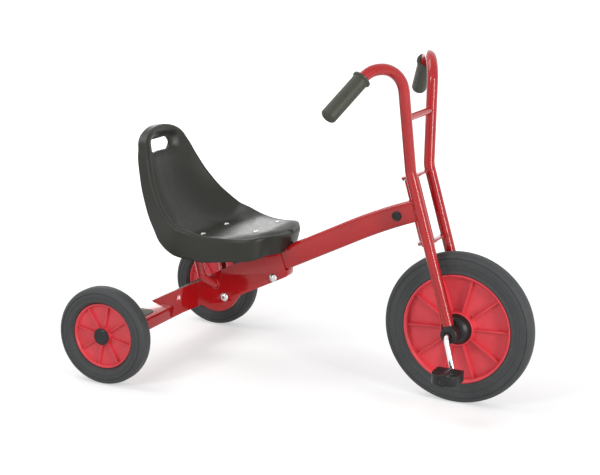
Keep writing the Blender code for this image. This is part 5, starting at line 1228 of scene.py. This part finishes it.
def yoke_welds(along, side):
    """Beads above and below a yoke's arm, part way round the blade."""
    found = []
    for face in (-1, 1):
        place = blade_point(along + face * YOKE_THICKNESS / 2, side * BLADE_HALF_GAP)
        arc = []
        for index in range(YOKE_WELD_STEPS + 1):
            angle = YOKE_WELD_ANGLE * (2 * index / YOKE_WELD_STEPS - 1)
            out = -Y_AXIS * side * math.cos(angle) - STEER_BACK * math.sin(angle)
            arc.append(place + out * STEER_TUBE_RADIUS)
        found.append(weld(arc, YOKE_WELD, closed=False))
    return found


def steering_pin():
    """Domed head over the upper yoke and a flanged nut with its bolt end below the lower."""
    top = UPPER_YOKE_AT + YOKE_THICKNESS / 2 + GAP
    nut_top = LOWER_YOKE_AT - YOKE_THICKNESS / 2 - GAP
    under = nut_top - WASHER_THICKNESS
    foot = steer_point(0.0)
    bolt = headed(PIN_DOME, PIN_HEAD_RADIUS, PIN_HEAD_HEIGHT, top, PIN_RADIUS,
                  under - NUT_HEIGHT - PIN_END, PIN_CHAMFER)
    turned("steering_bolt", "steering_pin", bolt, PIN_CORNER, foot, "zinc_steel", "steering",
           STEER_UP)
    washer = rounded_loop([(WASHER_BORE, nut_top), (WASHER_RADIUS, nut_top),
                           (WASHER_RADIUS, under), (WASHER_BORE, under)], WASHER_CORNER)
    nut = hexagon(STEER_NUT_FLATS, under - NUT_HEIGHT, under + NUT_SINK, STEER_UP, foot)
    piece("steering_flange_nut", [lathe(washer, STEER_UP, foot), nut], "zinc_steel",
          "steering", ["steering_nut"])


# Frame
def head():
    """Head tube and the flanges of its two bushes."""
    low = LOWER_YOKE_AT + YOKE_THICKNESS / 2 + RUN
    high = UPPER_YOKE_AT - YOKE_THICKNESS / 2 - RUN
    tube_low, tube_high = low + BUSH_FLANGE + GAP, high - BUSH_FLANGE - GAP
    foot = steer_point(0.0)
    inner = HEAD_RADIUS - HEAD_WALL
    shell = [(HEAD_RADIUS, tube_high), (HEAD_RADIUS, tube_low), (inner, tube_low),
             (inner, tube_high)]
    turned("steering_head", "head_tube", shell, HEAD_CORNER, foot, "red_paint", "frame",
           STEER_UP, HEAD_ROUND, True)
    for name, radius, one, two in (("upper", WASHER_RADIUS, high, high - BUSH_FLANGE),
                                   ("lower", HEAD_RADIUS, low + BUSH_FLANGE, low)):
        flange = [(BUSH_BORE, one), (radius, one), (radius, two), (BUSH_BORE, two)]
        turned(f"{name}_bush_flange", f"{name}_head_bush", flange, SMALL_CORNER, foot,
               "zinc_steel", "frame", STEER_UP, ring=True)


def beam_outline():
    """The beam from the side, as (forward, up) points, from its upper rear corner round."""
    front = HEAD_X + HEAD_RADIUS
    stations = [BEAM_REAR, BEAM_BEND_START]
    stations += [BEAM_BEND_START + (front - BEAM_BEND_START) * step / BEAM_STEPS
                 for step in range(1, BEAM_STEPS + 1)]
    top = [(x, beam_height(x) + beam_half_depth(x)) for x in stations]
    bottom = [(x, beam_height(x) - beam_half_depth(x)) for x in reversed(stations)]
    rear_x = BEAM_REAR - math.tan(BEAM_SLOPE) * beam_half_depth(BEAM_REAR)
    top[0] = (rear_x, beam_height(rear_x) + beam_half_depth(BEAM_REAR))
    return top + bottom


def frame_beam():
    """The rectangular beam, open at the rear, with its weld at the head tube and plugs."""
    half = BEAM_WIDTH / 2
    shape = slab(beam_outline(), -half, half, upright(x=REAR_X))
    rear_x = REAR_X + BEAM_REAR
    long_edges = []
    for edge in shape.edges:
        one, two = (vertex.co for vertex in edge.verts)
        if (abs(one.y - two.y) < TINY and abs(one.x - two.x) > 0.001
                and edge.calc_face_angle(0.0) > 1.0 and max(one.x, two.x) >= rear_x + 0.002):
            long_edges.append(edge)
    eased(shape, BEAM_CORNER, 6, chosen=long_edges)
    bmesh.ops.bisect_plane(shape, geom=shape.verts[:] + shape.edges[:] + shape.faces[:],
                           plane_co=HEAD_MIDDLE + STEER_BACK * BEAM_SHORT_OF_HEAD,
                           plane_no=-STEER_BACK, clear_outer=True)
    end = [face for face in shape.faces
           if all(vert.co.x < rear_x + 0.001 for vert in face.verts)]
    bmesh.ops.delete(shape, geom=end, context="FACES_ONLY")
    bmesh.ops.recalc_face_normals(shape, faces=shape.faces)
    bmesh.ops.solidify(shape, geom=shape.faces[:], thickness=BEAM_WALL)
    piece("frame_beam", shape, "red_paint", "frame", ["main_beam"])
    head_weld()
    centre = Vector((REAR_X + BEAM_PLUG_X, 0.0, beam_height(BEAM_PLUG_X)))
    face = half + GAP
    plug = headed(BEAM_PLUG_DOME, BEAM_PLUG_RADIUS, BEAM_PLUG_HEIGHT, face, BEAM_PLUG_STEM,
                  face - BEAM_PLUG_DEPTH)
    for side, name in SIDES:
        turned(f"beam_side_plug_{name}", f"beam_plug_{name}", plug, SMALL_CORNER, centre,
               "black_plastic", "frame", Y_AXIS * side)


def head_weld():
    """The bead where the beam's end meets the head tube."""
    depth = beam_half_depth(HEAD_X) * math.cos(BEAM_SLOPE) * BEAM_WELD_SHARE
    half = BEAM_WIDTH / 2
    slope = math.tan(BEAM_HEAD_SLOPE - math.atan2(-STEER_UP.x, STEER_UP.z))
    loop = []
    for y, along in rounded_loop([(-half, -depth), (half, -depth), (half, depth),
                                  (-half, depth)], BEAM_CORNER):
        back = math.sqrt(max(0.0, HEAD_RADIUS ** 2 - y * y))
        loop.append(HEAD_MIDDLE + STEER_UP * (along - back * slope) + STEER_BACK * back
                    + Y_AXIS * y)
    piece("beam_head_weld", weld(loop, BEAM_WELD), "red_paint", "frame")


def rear_channel():
    """Channel, gussets, keel, step plate and pads, with the clamp bolts."""
    carried("channel_sheet", "rear_channel", "frame", CHANNEL_EDGE)
    carried("keel_bar", "beam_keel", "frame", CHANNEL_EDGE)
    carried("step_sheet", "step_plate", "frame", PLATE_EDGE)
    for side, name in SIDES:
        carried(f"gusset_sheet_{name}", f"gusset_{name}", "frame", GUSSET_EDGE, 1)
        step_pad(side, name)
    for x, name in ((LOBE_AT, "rear"), (FRONT_BOLT_AT, "front")):
        clamp_bolt(name, Vector((REAR_X + x, 0.0, bolt_height(x))))


def step_pad(side, name):
    """A thin rubber pad with rows of small studs."""
    low = PLATE_TOP + GAP
    inner, outer = side * PAD_INNER, side * PAD_OUTER
    corners = [(PAD_REAR, inner), (PAD_FRONT, inner), (PAD_FRONT, outer), (PAD_REAR, outer)]
    place = Matrix.Translation((REAR_X, 0.0, low))
    shapes = [slab(rounded_loop(corners, PAD_CORNER), 0.0, PAD_THICKNESS, place, PAD_EDGE)]
    for row in range(STUD_ROWS):
        for column in range(STUD_COLUMNS):
            x = (PAD_FRONT + PAD_REAR) / 2 + (row - (STUD_ROWS - 1) / 2) * STUD_PITCH
            y = (inner + outer) / 2 + (column - (STUD_COLUMNS - 1) / 2) * STUD_PITCH
            shapes.append(lathe(STUD_LINE, (0.0, 0.0, 1.0), (REAR_X + x, y, low + PAD_THICKNESS),
                                STUD_ROUND, ring=False))
    piece(f"step_pad_rubber_{name}", shapes, "grip_rubber", "frame", [f"step_pad_{name}"])


def clamp_bolt(name, centre):
    """A dome-headed bolt with its head on the right, a thin rim, and a nut on the left."""
    face = CHANNEL_OUTER + GAP
    nut_face = face + BOLT_NUT_HEIGHT
    bolt = headed(BOLT_DOME, BOLT_HEAD_RADIUS, BOLT_HEAD_HEIGHT, face, BOLT_RADIUS,
                  -(nut_face + GAP + BOLT_END), ROD_EDGE)
    turned(f"{name}_channel_bolt", f"{name}_clamp_bolt", bolt, BOLT_CORNER, centre,
           "zinc_steel", "frame", -Y_AXIS)
    piece(f"{name}_channel_nut", hexagon(BOLT_NUT_FLATS, face, nut_face, Y_AXIS, centre),
          "zinc_steel", "frame", [f"{name}_clamp_nut"])


def axle_tube():
    """The tube under the step plate."""
    low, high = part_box("axle_tube")
    outer, end = (high.z - low.z) / 2, high.y
    shell = [(outer, end), (outer, -end), (AXLE_TUBE_BORE, -end), (AXLE_TUBE_BORE, end)]
    turned("rear_axle_tube", "axle_tube", shell, SMALL_CORNER, REAR_AXLE, "red_paint",
           "frame", ring=True)


# Seat
def sample(table, at, column):
    """A value read from a table by smooth interpolation along its first column."""
    keys = [row[0] for row in table]
    values = [row[column] for row in table]
    at = min(max(at, keys[0]), keys[-1])
    index = max(i for i in range(len(keys) - 1) if keys[i] <= at)
    span = keys[index + 1] - keys[index]

    def slope(i):
        low, high = max(i - 1, 0), min(i + 1, len(keys) - 1)
        return (values[high] - values[low]) / (keys[high] - keys[low])

    return hermite((at - keys[index]) / span, values[index], span * slope(index),
                   values[index + 1], span * slope(index + 1))


def seat_line():
    """The seat's middle line as a table of (distance from the top, forward, up)."""
    table = [(0.0, *SEAT_SPINE[0])]
    for one, two in zip(SEAT_SPINE, SEAT_SPINE[1:]):
        table.append((table[-1][0] + math.dist(one, two), *two))
    return table


SEAT_LINE = seat_line()
SEAT_END = SEAT_LINE[-1][0]
SEAT_PLACE = Vector((REAR_X + SEAT_BOLT_X, 0.0, SEAT_BOLT_Z))


def seat_frame(distance):
    """Place on the middle line, its forward direction and the direction out of the seat."""
    low = max(0.0, distance - SEAT_NORMAL_REACH)
    high = min(SEAT_END, distance + SEAT_NORMAL_REACH)
    forward, up = (sample(SEAT_LINE, distance, column) for column in (1, 2))
    run, rise = (sample(SEAT_LINE, high, column) - sample(SEAT_LINE, low, column)
                 for column in (1, 2))
    ahead = Vector((run, 0.0, rise)).normalized()
    return Vector((forward, 0.0, up)), ahead, Vector((-ahead.z, 0.0, ahead.x))


def seat_half_width(distance):
    """Half width of the seat, which closes in a round at the top and at the front."""
    width = sample(SEAT_FORM, distance, 1)
    for (reach, power), gap in ((SEAT_TOP_ROUND, distance),
                                (SEAT_FRONT_ROUND, SEAT_END - distance)):
        if gap < reach:
            width *= math.sqrt(max(0.0, 1.0 - (1.0 - gap / reach) ** power))
    return width


def seat_point(distance, across):
    """A point of the seat's upper face; across runs in metres to the left."""
    here, _, out = seat_frame(distance)
    half = seat_half_width(distance)
    share = max(-1.0, min(1.0, across / half)) if half > TINY else 0.0
    pan_start, pan_end = SEAT_PAN_RANGE
    pan = smooth_step((distance - pan_start) / (pan_end - pan_start))
    flat = SEAT_BACK_FLAT_SHARE + (SEAT_FLAT_SHARE - SEAT_BACK_FLAT_SHARE) * pan
    rise = max(0.0, (abs(share) - flat) / (1.0 - flat)) ** 2
    height = sample(SEAT_FORM, distance, 2) * rise - bowl_depth(distance, across)
    return here + out * height + Y_AXIS * across


def smooth_step(share):
    share = min(1.0, max(0.0, share))
    return share * share * (3.0 - 2.0 * share)


def bowl_depth(distance, across):
    """How far the seat's back is sunk in the bowl that leads to the hand hole."""
    beside, above, below = SEAT_BOWL_BORDER
    along = distance - SEAT_HOLE_BELOW_TOP
    reach = SEAT_HOLE_RADIUS + (above if along < 0 else below)
    ring = ((across / (SEAT_HOLE_LENGTH / 2 + beside)) ** 4 + (along / reach) ** 4) ** 0.25
    return SEAT_BOWL_DEPTH * smooth_step((1.0 - ring) / SEAT_BOWL_SLOPE)


def from_hole(distance, across):
    """Nearest point of the hand hole's middle line, and the way from there to a place."""
    middle = max(-SEAT_HOLE_REACH, min(SEAT_HOLE_REACH, across))
    return middle, across - middle, distance - SEAT_HOLE_BELOW_TOP


def in_hole(face, places):
    """Whether the middle of a face on the seat's sheet lies in the hand hole."""
    found = [places[vertex] for vertex in face.verts]
    mean = [sum(values) / len(found) for values in zip(*found)]
    _, along, rise = from_hole(*mean)
    return math.hypot(along, rise) < SEAT_HOLE_RADIUS


def seat_shell():
    """The bucket: a dished sheet, hand hole, rolled rim, deep skirt and its wall."""
    shell, places = seat_sheet()
    rim = {edge for edge in shell.edges if edge.is_boundary}
    gone = [face for face in shell.faces if in_hole(face, places)]
    bmesh.ops.delete(shell, geom=gone, context="FACES")
    hole = {edge for edge in shell.edges if edge.is_boundary} - rim
    for vertex in {vert for edge in hole for vert in edge.verts}:
        places[vertex] = hole_edge(*places[vertex])
    for vertex in shell.verts:
        vertex.co = seat_point(*places[vertex])
    middle = [vertex for vertex in shell.verts if not vertex.is_boundary]
    for _ in range(SEAT_SMOOTHING):
        bmesh.ops.smooth_vert(shell, verts=middle, factor=0.5, use_axis_x=True,
                              use_axis_y=True, use_axis_z=True)
    for edges, finish in ((rim, roll_and_skirt), (hole, hole_lip)):
        edges = [edge for edge in shell.edges if edge in edges]
        finish(shell, edges, {vertex: places[vertex][0] for edge in edges
                              for vertex in edge.verts})
    bmesh.ops.recalc_face_normals(shell, faces=shell.faces)
    bmesh.ops.translate(shell, vec=SEAT_PLACE, verts=shell.verts)
    seat = placed("seat_bucket", shell)
    seat.data.shade_smooth()
    seat.data.materials.append(MATERIALS["seat_plastic"])
    wall = seat.modifiers.new("wall", "SOLIDIFY")
    wall.thickness = SEAT_WALL
    wall.offset = -1.0
    wall.use_even_offset = False
    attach(seat, "frame")
    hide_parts("seat_shell")


def hole_edge(distance, across):
    """The nearest place on the hand hole's edge."""
    middle, along, rise = from_hole(distance, across)
    scale = SEAT_HOLE_RADIUS / max(TINY, math.hypot(along, rise))
    return SEAT_HOLE_BELOW_TOP + rise * scale, middle + along * scale


def seat_sheet():
    """A grid bent to the seat's outline, and each vertex's (distance, across) on it."""
    sheet = bmesh.new()
    grid = bmesh.ops.create_grid(sheet, x_segments=SEAT_ROWS, y_segments=SEAT_COLUMNS, size=1.0)
    places = {}
    for vertex in grid["verts"]:
        u, v = vertex.co.x, vertex.co.y
        p = u * math.sqrt(1.0 - v * v / 2.0)
        q = v * math.sqrt(1.0 - u * u / 2.0)
        chord = math.sqrt(max(0.0, 1.0 - p * p))
        distance = SEAT_END * (0.5 + 0.5 * p)
        share = max(-1.0, min(1.0, q / chord)) if chord > 1e-3 else 0.0
        places[vertex] = (distance, share * seat_half_width(distance))
    return sheet, places


def roll_and_skirt(shell, rim, start):
    """Turns the open edge of the seat outwards in a round and down in a skirt."""
    outward = {vertex: edge_outward(vertex, start[vertex]) for vertex in start}
    out = {vertex: seat_frame(start[vertex])[2] for vertex in start}
    depths = {vertex: sample(SEAT_FORM, start[vertex], 3) - beam_notch(vertex.co)
              for vertex in start}
    dents = {vertex: front_dent(vertex.co) for vertex in start}
    first_angle, roll = SEAT_ROLL_START, SEAT_ROLL
    turns = [first_angle + (math.pi - first_angle) * step / ROLL_STEPS
             for step in range(1, ROLL_STEPS + 1)]
    steps = [(angle, 0.0) for angle in turns]
    steps += [(math.pi, step / SKIRT_STEPS) for step in range(1, SKIRT_STEPS + 1)]

    def moved(place, first, step):
        angle, depth = step
        drop = depths[first] * depth
        across = roll * (math.cos(first_angle) - math.cos(angle)) - drop * SEAT_SKIRT_TAPER
        across -= dents[first] * smooth_step(angle / math.pi * 2.0 - 1.0)
        lift = roll * (math.sin(angle) - math.sin(first_angle)) - drop
        return place + outward[first] * across + out[first] * lift

    grow_edge(shell, rim, start, steps, moved)


def grow_edge(shell, edges, start, steps, moved):
    """Adds a row of faces to an open edge for each step, placed by the function moved."""
    base = {vertex: vertex.co.copy() for vertex in start}
    chain = {vertex: vertex for vertex in start}
    for step in steps:
        fresh, edges = extruded(shell, edges)
        found = {}
        for vertex in fresh:
            old = next(edge.other_vert(vertex) for edge in vertex.link_edges
                       if edge.other_vert(vertex) in chain)
            found[vertex] = chain[old]
        chain = found
        for vertex, first in chain.items():
            vertex.co = moved(base[first], first, step)


def front_dent(place):
    """How far the skirt is pressed in at the two corners of the seat's front."""
    if place.x < SEAT_SPINE[-1][0] * SEAT_DENT_FROM:
        return 0.0
    away = abs(abs(place.y) - SEAT_DENT_AT) / SEAT_DENT_REACH
    return SEAT_DENT_DEPTH * (1.0 - smooth_step(away))


def beam_notch(place):
    """How much shorter the skirt is where the beam passes under the seat's front."""
    front = SEAT_SPINE[-1][0]
    if place.x < front * SEAT_NOTCH_FROM:
        return 0.0
    x = SEAT_BOLT_X + front
    clear = beam_height(x) + beam_half_depth(x) + SEAT_NOTCH_GAP - SEAT_BOLT_Z
    low = place.z - sample(SEAT_FORM, SEAT_END, 3) - SEAT_ROLL
    beyond = (abs(place.y) - BEAM_WIDTH / 2 - SEAT_NOTCH_GAP) / SEAT_NOTCH_CORNER
    return max(0.0, clear - low) * (1.0 - smooth_step(beyond))


def edge_outward(vertex, distance):
    """Level direction away from the seat at a point of its edge."""
    _, ahead, _ = seat_frame(distance)
    lean = min(1.0, seat_half_width(distance) / sample(SEAT_FORM, distance, 1))
    towards_end = -1.0 if distance < SEAT_END / 2 else 1.0
    sideways = math.copysign(lean, vertex.co.y) if abs(vertex.co.y) > TINY else 0.0
    along = math.sqrt(max(0.0, 1.0 - sideways * sideways)) * towards_end
    return (Y_AXIS * sideways + ahead * along).normalized()


def hole_lip(shell, hole, start):
    """Turns the hand hole's edge back through the sheet in a round lip."""
    middle = seat_frame(SEAT_HOLE_BELOW_TOP)[0]
    out = {vertex: seat_frame(start[vertex])[2] for vertex in start}
    inward = {}
    for vertex in start:
        away = middle - vertex.co
        away.y *= HOLE_LIP_LEAN
        away -= out[vertex] * away.dot(out[vertex])
        inward[vertex] = away.normalized()
    steps = [(math.pi / 2 * step / HOLE_LIP_STEPS, 0.0) for step in range(1, HOLE_LIP_STEPS + 1)]
    steps += [(math.pi / 2, drop) for drop in HOLE_LIP_DROPS]

    def moved(place, first, step):
        angle, drop = step
        return (place + inward[first] * HOLE_LIP_RADIUS * math.sin(angle)
                - out[first] * (HOLE_LIP_RADIUS * (1.0 - math.cos(angle)) + drop))

    grow_edge(shell, hole, start, steps, moved)


def seat_screws():
    """Four dome-headed screws in the pan."""
    lean = Vector((-math.sin(SEAT_PAN_SLOPE), 0.0, math.cos(SEAT_PAN_SLOPE)))
    under = GAP - SEAT_SCREW_SINK
    screw = headed(SCREW_DOME, SEAT_SCREW_HEAD_RADIUS, SEAT_SCREW_HEAD_HEIGHT, under,
                   SCREW_RADIUS, under - SCREW_LENGTH)
    for row, along in (("rear", 0.0), ("front", SEAT_BOLT_PITCH)):
        for side, name in SIDES:
            x = SEAT_BOLT_X + along
            top = Vector((REAR_X + x, side * SEAT_BOLT_HALF_SPACING, pan_height(x)))
            turned(f"{row}_pan_screw_{name}", f"{row}_seat_screw_{name}", screw, SMALL_CORNER,
                   top, "zinc_steel", "frame", lean)


def seat_supports():
    """Two bent tubes under the pan with a weld at each foot, and the cross bar."""
    drop = (SEAT_WALL + SUPPORT_GAP + SUPPORT_RADIUS) / math.cos(SEAT_PAN_SLOPE)
    ahead = Vector((REAR_X, 0.0, 0.0))
    welds = []
    for side, name in SIDES:
        foot, elbow = ahead + sided(SUPPORT_FOOT, side), ahead + sided(SUPPORT_ELBOW, side)
        rail = [(REAR_X + x, side * SEAT_BOLT_HALF_SPACING, pan_height(x) - drop)
                for x in (SUPPORT_CORNER_X, SEAT_BOLT_X + SUPPORT_FRONT)]
        way = (elbow - foot).normalized()
        start = foot + way * ((CHANNEL_OUTER - abs(foot.y)) / abs(way.y) - SUPPORT_SINK)
        path = rounded_path([start, elbow, *rail], [SUPPORT_LOW_BEND, SUPPORT_BEND])
        piece(f"seat_support_tube_{name}", tube(path, SUPPORT_RADIUS), "red_paint", "frame",
              [f"seat_support_{name}"])
        welds.append(foot_weld(foot, way, side))
    piece("support_foot_welds", welds, "red_paint", "frame")
    carried("crossbar_and_post", "seat_crossbar", "frame", CHANNEL_EDGE)


def foot_weld(foot, way, side):
    """The bead where a support tube meets the channel's flat side."""
    loop = [start + way * ((side * CHANNEL_OUTER - start.y) / way.y)
            for start in ring_points(foot, way, SUPPORT_RADIUS)]
    return weld(loop, FOOT_WELD)


# Hidden hardware
def hidden_hardware():
    """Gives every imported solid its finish, for those that no piece replaces."""
    for entry in frame["record"]["subparts"]:
        node = frame["nodes"][entry["node"]]
        node.data.materials.clear()
        node.data.materials.append(MATERIALS[entry["material_slot"]])


# Camera, floor and light
CAMERA_PLACE = (1.4202, -3.1530, 1.2046)
CAMERA_RIGHT = (0.9042, 0.4267, 0.0193)
CAMERA_UP = (-0.1183, 0.2069, 0.9713)
CAMERA_LENS = 86.53
SENSOR_WIDTH = 36.0
CAMERA_REACH = 200.0
FLOOR_SIZE = 80.0
# The floor glows a little where it is seen, more so away from the tricycle and its shadows
FLOOR_COLOUR = 0.62
FLOOR_NEAR, FLOOR_FAR = 0.7, 2.2
FLOOR_GLOW_NEAR, FLOOR_GLOW_FAR = 0.46, 0.80
WORLD_LIGHT = 0.60
# Lamps: (name, place, target, width, height, power)
LAMPS = (
    ("top", (-2.2, -0.4, 3.4), (0.0, 0.0, 0.25), 2.2, 2.2, 45.0),
    ("front", (-1.3, -4.4, 2.9), (0.0, 0.0, 0.30), 1.0, 1.0, 55.0),
    ("side", (3.95, -1.75, 1.35), (0.3, 0.0, 0.60), 0.8, 2.4, 100.0),
    ("back", (-2.4, 3.3, 1.26), (0.0, 0.0, 0.20), 1.1, 1.1, 14.0),
)


def camera():
    """The photograph's view."""
    data = bpy.data.cameras.new("camera")
    data.lens = CAMERA_LENS
    data.sensor_width = SENSOR_WIDTH
    data.sensor_fit = "HORIZONTAL"
    data.clip_end = CAMERA_REACH
    made = bpy.data.objects.new("camera", data)
    right = Vector(CAMERA_RIGHT).normalized()
    back = right.cross(Vector(CAMERA_UP)).normalized()
    turn = Matrix((right, back.cross(right), back)).transposed().to_4x4()
    made.matrix_world = Matrix.Translation(CAMERA_PLACE) @ turn
    bpy.context.scene.collection.objects.link(made)
    bpy.context.scene.camera = made


def lamp(name, place, target, width, height, power):
    """A soft box that lights the tricycle and stays out of the picture."""
    data = bpy.data.lights.new(name, "AREA")
    data.shape = "RECTANGLE"
    data.size = width
    data.size_y = height
    data.energy = power
    made = bpy.data.objects.new(name, data)
    made.matrix_world = facing(Vector(place) - Vector(target), place)
    made.visible_camera = False
    bpy.context.scene.collection.objects.link(made)


def world():
    """Even light from all round, which the camera and reflections see as white."""
    made = bpy.data.worlds.new("studio")
    made.use_nodes = True
    nodes = Nodes(made.node_tree)
    sky = nodes.tree.nodes["Background"]
    sky.inputs["Color"].default_value = (1.0, 1.0, 1.0, 1.0)
    level = nodes.spread(nodes.seen(), 0.0, 1.0, WORLD_LIGHT, 1.0)
    nodes.tree.links.new(level.socket, sky.inputs["Strength"])
    bpy.context.scene.world = made


def floor():
    """A plain pale floor, which glows a little where it is seen."""
    shape = bmesh.new()
    bmesh.ops.create_grid(shape, x_segments=1, y_segments=1, size=FLOOR_SIZE / 2)
    made = placed("floor", shape)
    finish = bpy.data.materials.new("studio_floor")
    finish.use_nodes = True
    nodes = Nodes(finish.node_tree)
    nodes.tree.nodes.clear()
    away = nodes.node("ShaderNodeVectorMath", {"operation": "LENGTH"}, {0: nodes.coordinates()},
                      "Value")
    rise = nodes.spread(away, FLOOR_NEAR, FLOOR_FAR, FLOOR_GLOW_NEAR, FLOOR_GLOW_FAR,
                        "SMOOTHSTEP")
    glow = nodes.node("ShaderNodeEmission", {}, {"Strength": nodes.seen() * rise})
    paper = nodes.node("ShaderNodeBsdfDiffuse", {}, {"Color": (*[FLOOR_COLOUR] * 3, 1.0)})
    both = nodes.node("ShaderNodeAddShader", {}, {0: paper, 1: glow})
    output = nodes.tree.nodes.new("ShaderNodeOutputMaterial")
    nodes.tree.links.new(both.socket, output.inputs["Surface"])
    made.data.materials.append(finish)


# The tricycle
hidden_hardware()
front_wheel()
for side_sign, side_name in SIDES:
    pedal(side_sign, side_name)
    rear_wheel(side_sign, side_name)
steering()
head()
frame_beam()
rear_channel()
axle_tube()
seat_supports()
seat_shell()
seat_screws()

camera()
world()
floor()
for lamp_row in LAMPS:
    lamp(*lamp_row)
bpy.context.scene.view_settings.view_transform = "Standard"
